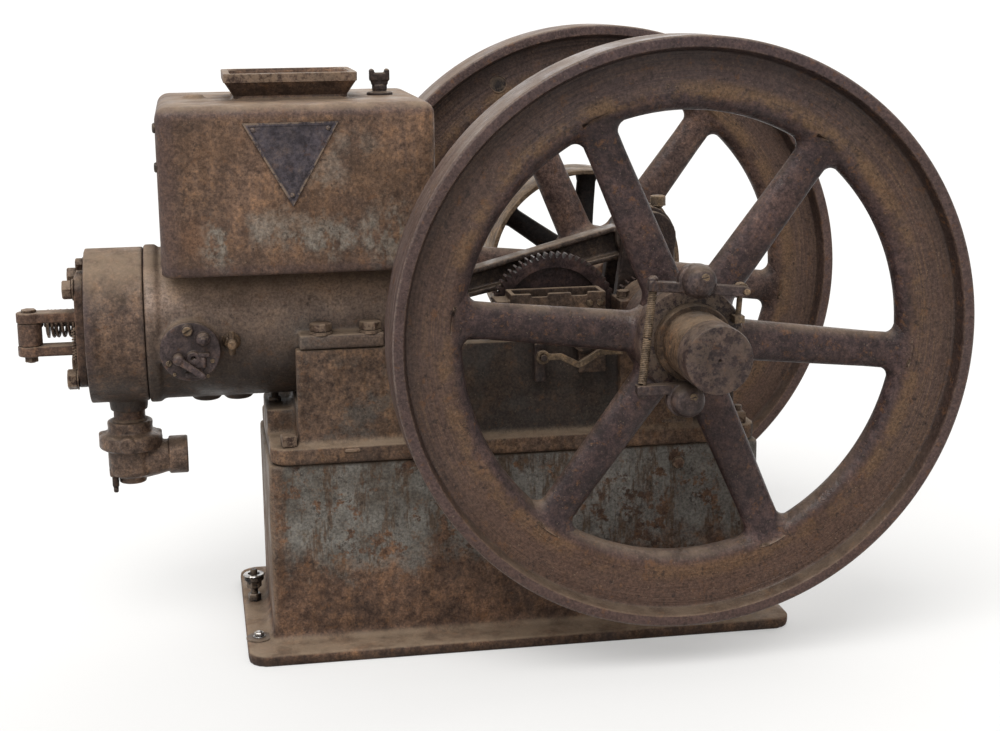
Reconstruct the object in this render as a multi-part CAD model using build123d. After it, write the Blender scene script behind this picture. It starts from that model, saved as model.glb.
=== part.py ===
from build123d import *
import math
import os

# Stationary gas engine: hopper-cooled, one horizontal cylinder, two flywheels.
# Frame in millimetres: +X along the engine towards the crank, +Y away from the
# governor flywheel, +Z up. The origin is the middle of the foundation bolts,
# on the ground.

# Crankshaft
shaft_x = 204
shaft_z = 471
shaft_radius = 30
shaft_near_end = -326
shaft_far_end = 446
running_gap = 0.05
seat_gap = 0.3
clear_gap = 6
sink = 2

# Cylinder
cylinder_z = 466
barrel_radius = 110
bore_radius = 70
barrel_left = -524
barrel_right = -118
joint_flange_radius = 115
joint_flange_thickness = 18

# Crank and rod
crank_radius = 101.6
crank_angle = 82
crank_pin_radius = 25
web_thickness = 22
web_end_radius = 40
big_end_half_width = 25
big_end_radius = 45
rod_length = 455
rod_flange_half_width = 17
rod_flange_thickness = 8
rod_web_thickness = 9
rod_small_height = 34
rod_large_height = 50
piston_length = 150
piston_crown_to_pin = 88
piston_clearance = 0.1
piston_wall = 10
piston_crown = 18
wrist_pin_radius = 14
wrist_pin_inset = 12
small_end_wall = 12
cap_ear_share = 0.45
cap_ear_width_share = 0.8
grease_neck_radius = 6
grease_neck_length = 5
grease_cup_radius = 12
grease_cup_height = 16

# Main bearings
bearing_inner = 92
bearing_width = 58
bearing_half_length = 56
bearing_cap_radius = 50
bearing_cap_ear_height = 26
bearing_seat_flare = 10
oil_cup_radius = 12.5
oil_cup_height = 16

# Timing gears
gear_module = 3.1
pinion_teeth = 30
gear_ratio = 2
gear_width = 23
gear_near_face = -86
gear_axis_drop = 7
cam_stud_radius = 14
gear_hub_radius = 26
cam_boss_radius = 19
cam_stud_head_radius = 19
cam_stud_head_thickness = 8
cam_stud_beyond_gear = 2
gear_rim_thickness = 14
gear_web_thickness = 10
tooth_tip_share = 0.9
tooth_root_share = 1.2
tooth_width_share = 0.45
pressure_angle = 20

# Flywheels
wheel_radius = 406.4
wheel_width = 89
near_wheel_mid = -283
far_wheel_mid = 271
lip_thickness = 16
lip_shoulder = 5
rim_edge_chamfer = 2
recess_depth = 23
rim_floor_radius = 326
rim_inner_radius = 307
wheel_hub_radius = 74
near_hub_front = 44
wheel_hub_back = 58
spoke_count = 6
spoke_start_angle = -6.7
spoke_root_width = 57
spoke_tip_width = 50
spoke_root_depth = 38
spoke_tip_depth = 30
spoke_fillet = 12
balance_hole_radius = 13
balance_hole_at = 353
balance_hole_angle = 117
balance_hole_depth = 12

# Hub barrel in front of the governor flywheel
stub_radius = 45
stub_end = -457
stub_ring_radius = 53
stub_ring_width = 17
stub_edge_chamfer = 2

# Belt pulley
pulley_near_edge = 320
pulley_face = 106
pulley_radius = 165
pulley_rim_thickness = 8
pulley_hub_radius = 48
pulley_spoke_width = 36
pulley_spoke_depth = 22
pulley_spoke_start_angle = 25

# Sub-base
base_length = 724
base_width = 290
base_top = 279
base_wall = 14
base_corner_radius = 10
foot_reach_x = 40
foot_reach_y = 57
foot_length = base_length + 2 * foot_reach_x
foot_width = base_width + 2 * foot_reach_y
foot_thickness = 17
foot_corner_radius = 30
anchor_inset_x = 18
anchor_inset_y = 76
anchor_spacing_x = foot_length - 2 * anchor_inset_x
anchor_spacing_y = foot_width - 2 * anchor_inset_y
anchor_hole_radius = 7

# Engine bed
bed_left = -358
bed_right = 357
bed_flange_width = 300
bed_flange_thickness = 25
bed_corner_radius = 24
bed_wall_outer = 136
bed_wall_inner = 113
bed_wall_left = -317
bed_wall_right = 326
bed_wall_top = 444
bed_tail_top = 372
rear_wall_top = 352
cradle_left = -312
cradle_right = -192
cradle_reach = 139
lug_thickness = 20
prop_block_top = 341
prop_block_half_width = 58
prop_x = -343
prop_radius = 6
prop_nut_radius = 11
prop_nut_height = 6

# Hopper
hopper_left = -496
hopper_right = -116
hopper_width = 336
hopper_bottom = 557
hopper_top = 789
hopper_wall = 11
hopper_edge_radius = 20
hopper_top_edge_radius = 18
top_boss_x = -442
top_boss_radius = 14
top_boss_rise = 6
neck_left = -386
neck_right = -228
neck_width = 124
neck_top = 826
neck_flare = 13
neck_wall = 9
neck_lip_height = 12
neck_corner_radius = 12
neck_lip_corner_radius = 16
neck_straight_height = 6

# Badge on the hopper's side
badge_left = -380
badge_right = -250
badge_top = 765
badge_point = 651
badge_thickness = 2.5
badge_rim = 5

# Forked fitting on the hopper's top
fitting_x = -175
fitting_boss_radius = 19
fitting_boss_height = 5
fitting_stem_radius = 8
fitting_head_low = 19
fitting_head_high = 37
fitting_half_length = 14.5
fitting_half_width = 8
fitting_notch_radius = 8
fitting_notch_rise = 3

# Cylinder head and valve gear
head_length = 83
head_radius = 112
head_joint_gap = 0.2
mixer_seat_drop = 14
mixer_seat_margin = 4
mixer_root_rise = 22
mixer_root_margin = 7
valve_plate_thickness = 14
valve_plate_half_width = 72
valve_plate_half_height = 80
valve_plate_corner_radius = 26
exhaust_port_x = -566
exhaust_port_radius = 24
exhaust_port_depth = 34
exhaust_boss_radius = 40
exhaust_boss_reach = 122
rocker_pin_x = -686
rocker_pin_y = -42
rocker_pin_radius = 7
rocker_pin_head_margin = 4
rocker_pin_head_height = 4
rocker_pin_below = 10
yoke_arm_height = 15
yoke_half_gap = 16.5
yoke_arm_width = 28
yoke_end_radius = 18
rocker_hub_radius = 17
rocker_thickness = 20
rocker_arm_depth = 13
rocker_arm_beyond_valve = 12
valve_y = 30
valve_stem_radius = 5
valve_stem_end = -672
valve_stem_inner_end = -574
valve_travel = 7
retainer_radius = 21
retainer_thickness = 5
retainer_setback = 3
valve_spring_radius = 21
valve_spring_wire = 3.5
tappet_radius = 6

# Fuel mixer under the head
mixer_x = -556
mixer_pipe_radius = 23
mixer_body_radius = 34
mixer_body_top = 324
mixer_body_bottom = 240
mixer_collar_radius = 46
mixer_collar_top = 306
mixer_collar_thickness = 25
mixer_boss_radius = 20
mixer_boss_drop = 11
mixer_shoulder = 5
air_pipe_z = 267
air_pipe_radius = 23
air_collar_radius = 28
air_collar_length = 24
air_bore_radius = 19
air_pipe_end = -474
air_bore_depth = 30
needle_x = -581
needle_y = -8
needle_radius = 5
needle_length = 24
needle_handle_drop = 20
needle_handle_radius = 3
needle_handle_reach = 12

# Igniter on the barrel's near side
igniter_x = -463
igniter_z = 447
igniter_radius = 42
igniter_boss_reach = 118
igniter_plate_thickness = 11
igniter_boss_depth = 25
plunger_at = (-3, 30.5)
plunger_radius = 8
plunger_reach = 12
electrode_at = (18.4, 18)
electrode_radius = 10
electrode_reach = 20
trip_at = (-17, -8.5)
trip_hub_radius = 8
trip_hub_length = 18
trip_arm_depth = 12
trip_arm_radius = 4
trip_arm_reach = (35, -26)
cock_x = -405
cock_z = 456
cock_radius = 9
cock_length = 34
cock_key_radius = 5
cock_key_share = 0.6
cock_key_low = -16
cock_key_high = 18
drain_boss_x = (-442, -396)
drain_boss_radius = 20
drain_boss_drop = 7

# Magneto bracket and latch lever on the near wall
tray_left = -10
tray_right = 128
tray_near = -146
tray_far = -96
tray_bottom = 484
tray_top = 512
tray_wall = 7
tray_floor = 9
tray_ledge = 20
tray_leg_thickness = 12
tray_leg_width = 40
roller_x = 94
roller_z = 443
roller_radius = 17
roller_width = 9
tray_leg_overlap = 50
tray_ledge_near = 4
tray_ledge_drop = 10
tray_notch_shares = (0.3, 0.72)
tray_notch_half_width = 12
tray_notch_depth = 5
latch_pin_x = 31
latch_pin_z = 424
latch_pin_radius = 5
latch_near = -164
latch_thickness = 8
latch_height = 9
latch_length = 116
latch_dip = 14
latch_dip_share = 0.45
latch_dip_left = 26
latch_dip_right = 30
latch_bend_radius = 9
latch_end_rise = 4
latch_eye_margin = 5
fork_half_width = 8
fork_depth = 14
fork_drop = 40
fork_top_gap = 4
fork_pin_beyond = 6

# Governor on the front of the near hub
upper_pivot = (64, 71)
lower_pivot = (50, -57)
upper_bar_climb = 12.6
governor_pin_radius = 4.5
governor_pin_beyond = 4
governor_bar_height = 13.5
governor_bar_depth = 16
governor_bar_length = 134
governor_lug_inset = 8
governor_lug_radius = 5
governor_lug_reach = 13
governor_front_gap = 20
post_foot_x = 61
post_foot_z = 30
post_foot_half_length = 7
post_foot_half_height = 5
post_radius = 4
post_eye_radius = 9
post_eye_gap = 2
weight_radius = 23
weight_depth = 36
weight_back_gap = 23
weight_at = 66
upper_weight_rise = 17
lower_weight_rise = 15
governor_spring_radius = 6
governor_spring_gap = 1

# Derived places
pin_x = shaft_x + crank_radius * math.cos(math.radians(crank_angle))
pin_z = shaft_z + crank_radius * math.sin(math.radians(crank_angle))
wrist_x = pin_x - math.sqrt(rod_length ** 2 - (pin_z - cylinder_z) ** 2)
gear_teeth = pinion_teeth * gear_ratio
gear_reach = gear_module * (pinion_teeth + gear_teeth) / 2
cam_z = shaft_z - gear_axis_drop
cam_x = shaft_x - math.sqrt(gear_reach ** 2 - gear_axis_drop ** 2)
bed_top = base_top + bed_flange_thickness
bearing_outer = bearing_inner + bearing_width
head_left = barrel_left - head_joint_gap - head_length
plate_left = head_left - valve_plate_thickness
near_hub_face = near_wheel_mid - near_hub_front
web_inner = big_end_half_width + clear_gap


def rod_between(radius, start, end):
    """A round bar from one point to another."""
    along = Vector(*end) - Vector(*start)
    return Solid.make_cylinder(radius, along.length, Plane(origin=start, z_dir=along))


def block(x_range, y_range, z_range):
    """A plain block between two limits on each axis."""
    size = [high - low for low, high in (x_range, y_range, z_range)]
    corner = (x_range[0], y_range[0], z_range[0])
    return Solid.make_box(*size, Plane(origin=corner))


def rounded_slab(length, width, low, high, radius, centre=(0, 0)):
    """A level slab with round corners."""
    sketch = Pos(centre[0], centre[1], low) * RectangleRounded(length, width, radius)
    return extrude(sketch, high - low)


def side_profile(points, near, far):
    """A shape drawn as X and Z, standing between two Y planes."""
    face = Plane(origin=(0, far, 0), x_dir=(1, 0, 0), z_dir=(0, -1, 0))
    return extrude(face * Polygon(*points, align=None), far - near, dir=(0, -1, 0))


def vertical_edges(shape):
    return shape.edges().filter_by(Axis.Z)


def both_sides(make):
    """The same solid on the near and the far side."""
    near = make()
    return near + mirror(near, Plane.XZ)


def sub_base():
    outer = block((-base_length / 2, base_length / 2), (-base_width / 2, base_width / 2), (0, base_top))
    outer = fillet(vertical_edges(outer), base_corner_radius)
    foot = rounded_slab(foot_length, foot_width, 0, foot_thickness, foot_corner_radius)
    shell = outer + foot
    hollow_x = base_length / 2 - base_wall
    hollow_y = base_width / 2 - base_wall
    shell -= block((-hollow_x, hollow_x), (-hollow_y, hollow_y), (0, base_top - base_wall))
    for x in (-anchor_spacing_x / 2, anchor_spacing_x / 2):
        for y in (-anchor_spacing_y / 2, anchor_spacing_y / 2):
            shell -= rod_between(anchor_hole_radius, (x, y, -1), (x, y, foot_thickness + 1))
    return shell


def bed_wall():
    """The near wall with its half of the main bearing; the cylinder's lug sits on its top."""
    bearing_left = shaft_x - bearing_half_length
    bearing_right = shaft_x + bearing_half_length
    outline = [
        (bed_wall_left, bed_top),
        (bed_wall_left, bed_wall_top),
        (bearing_left - bearing_seat_flare, bed_wall_top),
        (bearing_left, shaft_z),
        (bearing_right, shaft_z),
        (bearing_right + bearing_seat_flare, bed_wall_top),
        (bed_wall_right, bed_tail_top),
        (bed_wall_right, bed_top),
    ]
    wall = side_profile(outline, -bed_wall_outer, -bed_wall_inner)
    seat = block((bearing_left, bearing_right), (-bearing_outer, -bearing_inner), (bed_top, shaft_z))
    wall = wall + seat
    axis = rod_between(shaft_radius + running_gap, (shaft_x, -bearing_outer - 1, shaft_z),
                       (shaft_x, -bearing_inner + 1, shaft_z))
    return wall - axis


def engine_bed():
    length = bed_right - bed_left
    middle = (bed_right + bed_left) / 2
    bed = rounded_slab(length, bed_flange_width, base_top, bed_top, bed_corner_radius, (middle, 0))
    bed += both_sides(bed_wall)
    thickness = bed_wall_outer - bed_wall_inner
    inside = (-bed_wall_inner, bed_wall_inner)
    saddle_top = cylinder_z - barrel_radius - seat_gap
    bed += block((bed_wall_left, bed_wall_left + thickness), inside, (bed_top, saddle_top))
    bed += block((bed_wall_right - thickness, bed_wall_right), inside, (bed_top, rear_wall_top))
    bed += block((bed_left, bed_wall_left), (-prop_block_half_width, prop_block_half_width),
                 (bed_top, prop_block_top))
    barrel = rod_between(barrel_radius + seat_gap, (bed_left, 0, cylinder_z), (barrel_right, 0, cylinder_z))
    bed -= barrel
    return bed + cam_stud_boss()


def cam_stud_boss():
    """The pad on the inside of the near wall that carries the cam gear's stud."""
    inner = gear_near_face - clear_gap
    boss = rod_between(cam_boss_radius, (cam_x, -bed_wall_outer, cam_z), (cam_x, inner, cam_z))
    neck = block((cam_x - cam_boss_radius, cam_x + cam_boss_radius), (-bed_wall_outer, inner),
                 (bed_wall_top - 2 * cam_boss_radius, cam_z))
    bore = rod_between(cam_stud_radius, (cam_x, -bed_wall_outer - 1, cam_z), (cam_x, inner + 1, cam_z))
    return boss + neck - bore


def cam_stud():
    head = rod_between(cam_stud_head_radius, (cam_x, -bed_wall_outer - cam_stud_head_thickness, cam_z),
                       (cam_x, -bed_wall_outer, cam_z))
    far_end = gear_near_face + gear_width + cam_stud_beyond_gear
    return head + rod_between(cam_stud_radius, (cam_x, -bed_wall_outer, cam_z), (cam_x, far_end, cam_z))


def bearing_cap(side):
    inner = side * bearing_inner
    outer = side * bearing_outer
    low = min(inner, outer)
    high = max(inner, outer)
    arch = rod_between(bearing_cap_radius, (shaft_x, low, shaft_z), (shaft_x, high, shaft_z))
    ears = block((shaft_x - bearing_half_length, shaft_x + bearing_half_length), (low, high),
                 (shaft_z, shaft_z + bearing_cap_ear_height))
    middle = (low + high) / 2
    crown = shaft_z + bearing_cap_radius
    cup = rod_between(oil_cup_radius, (shaft_x, middle, crown - sink),
                      (shaft_x, middle, crown + oil_cup_height))
    cap = arch + ears + cup
    cap -= block((shaft_x - 2 * bearing_half_length, shaft_x + 2 * bearing_half_length), (low - 1, high + 1),
                 (shaft_z - 2 * bearing_cap_radius, shaft_z))
    return cap - rod_between(shaft_radius + running_gap, (shaft_x, low - 1, shaft_z),
                             (shaft_x, high + 1, shaft_z))


def rectangular_neck(grow):
    """The filler neck's solid, flared towards its lip; grow is negative inside."""
    middle = (neck_left + neck_right) / 2
    length = neck_right - neck_left + 2 * grow
    width = neck_width + 2 * grow
    lip_low = neck_top - neck_lip_height
    body = RectangleRounded(length, width, neck_corner_radius)
    lip = RectangleRounded(length + 2 * neck_flare, width + 2 * neck_flare, neck_lip_corner_radius)
    foot = Pos(middle, 0, hopper_top - hopper_wall - 1) * body
    waist = Pos(middle, 0, hopper_top + neck_straight_height) * body
    rim = Pos(middle, 0, lip_low) * lip
    mouth = Pos(middle, 0, neck_top) * lip
    return loft([foot, waist], ruled=True) + loft([waist, rim], ruled=True) + loft([rim, mouth], ruled=True)


def cylinder_hopper():
    barrel = rod_between(barrel_radius, (barrel_left, 0, cylinder_z), (barrel_right, 0, cylinder_z))
    barrel += rod_between(joint_flange_radius, (barrel_left, 0, cylinder_z),
                          (barrel_left + joint_flange_thickness, 0, cylinder_z))
    half = hopper_width / 2
    hopper = block((hopper_left, hopper_right), (-half, half), (hopper_bottom, hopper_top))
    hopper = fillet(vertical_edges(hopper), hopper_edge_radius)
    hopper = fillet(hopper.faces().sort_by(Axis.Z)[-1].edges(), hopper_top_edge_radius)
    casting = barrel + hopper + rectangular_neck(0)
    floor = cylinder_z + barrel_radius + hopper_wall
    casting -= block((hopper_left + hopper_wall, hopper_right - hopper_wall),
                     (hopper_wall - half, half - hopper_wall), (floor, hopper_top - hopper_wall))
    casting -= rectangular_neck(-neck_wall)
    casting += both_sides(cylinder_lug)
    casting += igniter_boss()
    for x in drain_boss_x:
        low = cylinder_z - barrel_radius - drain_boss_drop
        casting += rod_between(drain_boss_radius, (x, 0, low), (x, 0, cylinder_z - bore_radius - hopper_wall))
    casting += rod_between(top_boss_radius, (top_boss_x, 0, hopper_top - sink),
                           (top_boss_x, 0, hopper_top + top_boss_rise))
    return casting - rod_between(bore_radius, (barrel_left - 1, 0, cylinder_z),
                                 (barrel_right + 1, 0, cylinder_z))


def cylinder_lug():
    """The side lug that sits on the bed's wall."""
    reach = barrel_radius * 0.8
    return block((cradle_left, cradle_right), (-cradle_reach, -reach),
                 (bed_wall_top, bed_wall_top + lug_thickness))


def igniter_boss():
    return rod_between(igniter_radius, (igniter_x, -igniter_boss_reach, igniter_z),
                       (igniter_x, -igniter_boss_reach + igniter_boss_depth, igniter_z))


def igniter_plate():
    face = -igniter_boss_reach
    plate = rod_between(igniter_radius, (igniter_x, face - igniter_plate_thickness, igniter_z),
                        (igniter_x, face, igniter_z))
    front = face - igniter_plate_thickness
    for (along, up), radius, reach in ((plunger_at, plunger_radius, plunger_reach),
                                       (electrode_at, electrode_radius, electrode_reach)):
        x = igniter_x + along
        z = igniter_z + up
        plate += rod_between(radius, (x, front - reach, z), (x, front, z))
    return plate


def igniter_trip():
    """The trip arm on its short shaft across the igniter plate."""
    front = -igniter_boss_reach - igniter_plate_thickness - seat_gap
    x = igniter_x + trip_at[0]
    z = igniter_z + trip_at[1]
    y = front - trip_arm_depth
    hub = rod_between(trip_hub_radius, (x, front - trip_hub_length, z), (x, front, z))
    return hub + rod_between(trip_arm_radius, (x, y, z), (x + trip_arm_reach[0], y, z + trip_arm_reach[1]))


def priming_cock():
    depth = math.sqrt(barrel_radius ** 2 - (cylinder_z - cock_z) ** 2)
    key_y = -depth - cock_length * cock_key_share
    base = rod_between(cock_radius, (cock_x, -depth - cock_length, cock_z),
                       (cock_x, -depth + 2 * sink, cock_z))
    key = rod_between(cock_key_radius, (cock_x, key_y, cock_z + cock_key_low),
                      (cock_x, key_y, cock_z + cock_key_high))
    return base + key - rod_between(barrel_radius, (barrel_left, 0, cylinder_z), (barrel_right, 0, cylinder_z))


def badge_plate():
    """A bare three-cornered plate with a raised rim."""
    face = -hopper_width / 2
    middle = (badge_left + badge_right) / 2
    corners = [(badge_left, badge_top), (badge_right, badge_top), (middle, badge_point)]
    plate = side_profile(corners, face - badge_thickness, face)
    shrink = 1 - 2.6 * badge_rim / (badge_top - badge_point)
    centre_z = (2 * badge_top + badge_point) / 3
    inner = [(middle + (x - middle) * shrink, centre_z + (z - centre_z) * shrink) for x, z in corners]
    return plate - side_profile(inner, face - badge_thickness - 1, face - badge_thickness / 2)


def hopper_drain_fitting():
    """The forked fitting on its round boss on top of the hopper."""
    x = fitting_x
    low = hopper_top
    boss = rod_between(fitting_boss_radius, (x, 0, low), (x, 0, low + fitting_boss_height))
    stem = rod_between(fitting_stem_radius, (x, 0, low), (x, 0, low + fitting_head_low + sink))
    head = block((x - fitting_half_length, x + fitting_half_length), (-fitting_half_width, fitting_half_width),
                 (low + fitting_head_low, low + fitting_head_high))
    notch_z = low + fitting_head_high + fitting_notch_rise
    notch = rod_between(fitting_notch_radius, (x, -fitting_half_width - 1, notch_z),
                        (x, fitting_half_width + 1, notch_z))
    return boss + stem + head - notch


def cylinder_head():
    right = barrel_left - head_joint_gap
    drum = rod_between(head_radius, (head_left, 0, cylinder_z), (right, 0, cylinder_z))
    low = cylinder_z - head_radius
    seat = Pos(mixer_x, 0, low - mixer_seat_drop) * Circle(mixer_pipe_radius + mixer_seat_margin)
    root = Pos(mixer_x, 0, low + mixer_root_rise) * Circle(mixer_pipe_radius + mixer_root_margin)
    drum += loft([seat, root], ruled=True)
    drum += rod_between(exhaust_boss_radius, (exhaust_port_x, 0, cylinder_z),
                        (exhaust_port_x, exhaust_boss_reach, cylinder_z))
    port_end = exhaust_boss_reach - exhaust_port_depth
    drum -= rod_between(exhaust_port_radius, (exhaust_port_x, port_end, cylinder_z),
                        (exhaust_port_x, exhaust_boss_reach + 1, cylinder_z))
    return drum - valve_guide()


def valve_guide():
    """The hole that the exhaust valve's stem slides in."""
    inner = valve_stem_inner_end + valve_travel + clear_gap
    return rod_between(valve_stem_radius + running_gap, (plate_left - 1, valve_y, cylinder_z),
                       (inner, valve_y, cylinder_z))


def valve_plate():
    """The bolted plate on the end of the head, with the two arms of the rocker yoke."""
    plate = block((plate_left, head_left), (-valve_plate_half_width, valve_plate_half_width),
                  (cylinder_z - valve_plate_half_height, cylinder_z + valve_plate_half_height))
    plate = fillet(plate.edges().filter_by(Axis.X), valve_plate_corner_radius)
    for side in (-1, 1):
        inner = cylinder_z + side * yoke_half_gap
        outer = inner + side * yoke_arm_height
        plate += yoke_arm(min(inner, outer), max(inner, outer))
    return plate - valve_guide()


def yoke_arm(low, high):
    half = yoke_arm_width / 2
    arm = block((rocker_pin_x, plate_left), (rocker_pin_y - half, rocker_pin_y + half), (low, high))
    eye = rod_between(yoke_end_radius, (rocker_pin_x, rocker_pin_y, low), (rocker_pin_x, rocker_pin_y, high))
    hole = rod_between(rocker_pin_radius, (rocker_pin_x, rocker_pin_y, low - 1),
                       (rocker_pin_x, rocker_pin_y, high + 1))
    return arm + eye - hole


def rocker_pin():
    half = yoke_half_gap + yoke_arm_height
    low = (rocker_pin_x, rocker_pin_y, cylinder_z - half - rocker_pin_below)
    high = (rocker_pin_x, rocker_pin_y, cylinder_z + half)
    head = rod_between(rocker_pin_radius + rocker_pin_head_margin, high,
                       (high[0], high[1], high[2] + rocker_pin_head_height))
    return rod_between(rocker_pin_radius, low, high) + head


def rocker_arm():
    half = yoke_half_gap - seat_gap
    hub = rod_between(rocker_hub_radius, (rocker_pin_x, rocker_pin_y, cylinder_z - half),
                      (rocker_pin_x, rocker_pin_y, cylinder_z + half))
    bar = block((rocker_pin_x - rocker_arm_depth / 2, rocker_pin_x + rocker_arm_depth / 2),
                (rocker_pin_y, valve_y + rocker_arm_beyond_valve),
                (cylinder_z - rocker_thickness / 2, cylinder_z + rocker_thickness / 2))
    ball_x = valve_stem_end - seat_gap - tappet_radius
    tip = rod_between(tappet_radius, (rocker_pin_x, valve_y, cylinder_z), (ball_x, valve_y, cylinder_z))
    tip += Pos(ball_x, valve_y, cylinder_z) * Sphere(tappet_radius)
    bore = rod_between(rocker_pin_radius + running_gap, (rocker_pin_x, rocker_pin_y, cylinder_z - half - 1),
                       (rocker_pin_x, rocker_pin_y, cylinder_z + half + 1))
    return hub + bar + tip - bore


def exhaust_valve():
    stem = rod_between(valve_stem_radius, (valve_stem_end, valve_y, cylinder_z),
                       (valve_stem_inner_end, valve_y, cylinder_z))
    retainer_left = valve_stem_end + retainer_setback
    disc = rod_between(retainer_radius, (retainer_left, valve_y, cylinder_z),
                       (retainer_left + retainer_thickness, valve_y, cylinder_z))
    return stem + disc


def valve_spring():
    left = valve_stem_end + retainer_setback + retainer_thickness + seat_gap
    right = plate_left - seat_gap
    coil = rod_between(valve_spring_radius, (left, valve_y, cylinder_z), (right, valve_y, cylinder_z))
    return coil - rod_between(valve_spring_radius - valve_spring_wire, (left - 1, valve_y, cylinder_z),
                              (right + 1, valve_y, cylinder_z))


def mixer_pipe():
    """The short pipe that joins the mixer to the head."""
    high = cylinder_z - head_radius - mixer_seat_drop
    return rod_between(mixer_pipe_radius, (mixer_x, 0, mixer_body_top), (mixer_x, 0, high))


def fuel_mixer():
    body = rod_between(mixer_body_radius, (mixer_x, 0, mixer_body_bottom), (mixer_x, 0, mixer_body_top))
    body = chamfer(body.edges().sort_by(Axis.Z)[-1], mixer_shoulder)
    collar_low = mixer_collar_top - mixer_collar_thickness
    body += rod_between(mixer_collar_radius, (mixer_x, 0, collar_low), (mixer_x, 0, mixer_collar_top))
    body += rod_between(mixer_boss_radius, (mixer_x, 0, mixer_body_bottom - mixer_boss_drop),
                        (mixer_x, 0, mixer_body_bottom))
    body += rod_between(air_pipe_radius, (mixer_x, 0, air_pipe_z), (air_pipe_end, 0, air_pipe_z))
    body += rod_between(air_collar_radius, (air_pipe_end - air_collar_length, 0, air_pipe_z),
                        (air_pipe_end, 0, air_pipe_z))
    return body - rod_between(air_bore_radius, (air_pipe_end - air_bore_depth, 0, air_pipe_z),
                              (air_pipe_end + 1, 0, air_pipe_z))


def mixer_needle():
    """The needle valve's stem and cross handle under the mixer."""
    top = mixer_body_bottom - seat_gap
    stem = rod_between(needle_radius, (needle_x, needle_y, top - needle_length), (needle_x, needle_y, top))
    handle_z = top - needle_handle_drop
    return stem + rod_between(needle_handle_radius, (needle_x, needle_y - needle_handle_reach, handle_z),
                              (needle_x, needle_y + needle_handle_reach, handle_z))


def cylinder_prop():
    """The screw that steadies the barrel from the bed's end block."""
    top = cylinder_z - barrel_radius - seat_gap
    screw = rod_between(prop_radius, (prop_x, 0, prop_block_top), (prop_x, 0, top))
    return screw + rod_between(prop_nut_radius, (prop_x, 0, prop_block_top),
                               (prop_x, 0, prop_block_top + prop_nut_height))


def piston():
    left = wrist_x - piston_crown_to_pin
    body = rod_between(bore_radius - piston_clearance, (left, 0, cylinder_z),
                       (left + piston_length, 0, cylinder_z))
    return body - rod_between(bore_radius - piston_wall, (left + piston_crown, 0, cylinder_z),
                              (left + piston_length + 1, 0, cylinder_z))


def wrist_pin():
    half = bore_radius - wrist_pin_inset
    return rod_between(wrist_pin_radius, (wrist_x, -half, cylinder_z), (wrist_x, half, cylinder_z))


def rod_frame():
    """The plane of the rod: X from the wrist pin to the crank pin, Y across it."""
    along = Vector(pin_x - wrist_x, 0, pin_z - cylinder_z)
    return Plane(origin=(wrist_x, 0, cylinder_z), x_dir=along, z_dir=(0, -1, 0))


def connecting_rod():
    frame = rod_frame()
    start = wrist_pin_radius + small_end_wall / 2
    end = rod_length - big_end_radius + small_end_wall
    small = rod_small_height / 2
    large = rod_large_height / 2
    flange = rod_flange_thickness
    outline = Polygon((start, -small), (end, -large), (end, large), (start, small), align=None)
    beam = extrude(frame * outline, rod_flange_half_width, both=True)
    window = Polygon((start - 1, flange - small), (end + 1, flange - large),
                     (end + 1, large - flange), (start - 1, small - flange), align=None)
    half_web = rod_web_thickness / 2
    depth = rod_flange_half_width - half_web
    for side in (-1, 1):
        pocket_plane = frame.offset(side * (half_web + depth))
        beam -= extrude(pocket_plane * window, depth, both=True)
    small_end = frame * Circle(wrist_pin_radius + small_end_wall)
    beam += extrude(small_end, rod_flange_half_width, both=True)
    big_end = frame * Pos(rod_length, 0) * Circle(big_end_radius)
    beam += extrude(big_end, big_end_half_width, both=True)
    cap_side = Pos(rod_length + big_end_radius + 1, 0) * Rectangle(2 * big_end_radius + 2, 4 * big_end_radius)
    beam -= extrude(frame * cap_side, big_end_half_width + 1, both=True)
    beam -= extrude(frame * Circle(wrist_pin_radius + running_gap), 2 * bore_radius, both=True)
    return beam - crank_pin_hole()


def crank_pin_hole():
    reach = big_end_half_width + 1
    return rod_between(crank_pin_radius + running_gap, (pin_x, -reach, pin_z), (pin_x, reach, pin_z))


def rod_cap():
    """The half strap beyond the crank pin, with its two bolt ears."""
    frame = rod_frame()
    strap = Pos(rod_length, 0) * Circle(big_end_radius)
    cut = Pos(rod_length - big_end_radius, 0) * Rectangle(2 * big_end_radius, 4 * big_end_radius)
    cap = extrude(frame * (strap - cut), big_end_half_width, both=True)
    ear = big_end_radius * cap_ear_share
    for side in (-1, 1):
        boss = Pos(rod_length + ear / 2, side * (big_end_radius - ear / 2))
        boss *= Rectangle(ear, ear)
        cap += extrude(frame * boss, big_end_half_width * cap_ear_width_share, both=True)
    return cap - crank_pin_hole()


def crank_pin():
    """The crank pin stays with the rod, just short of both webs."""
    half = big_end_half_width
    return rod_between(crank_pin_radius, (pin_x, -half, pin_z), (pin_x, half, pin_z))


def grease_cup():
    x = pin_x + crank_pin_radius
    low = pin_z + math.sqrt(big_end_radius ** 2 - (x - pin_x) ** 2)
    seat = low + grease_neck_length
    neck = rod_between(grease_neck_radius, (x, 0, low - 4 * sink), (x, 0, seat))
    cup = rod_between(grease_cup_radius, (x, 0, seat - 1), (x, 0, seat - 1 + grease_cup_height))
    big_end = rod_between(big_end_radius, (pin_x, -big_end_half_width, pin_z),
                          (pin_x, big_end_half_width, pin_z))
    return neck + cup - big_end


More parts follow.
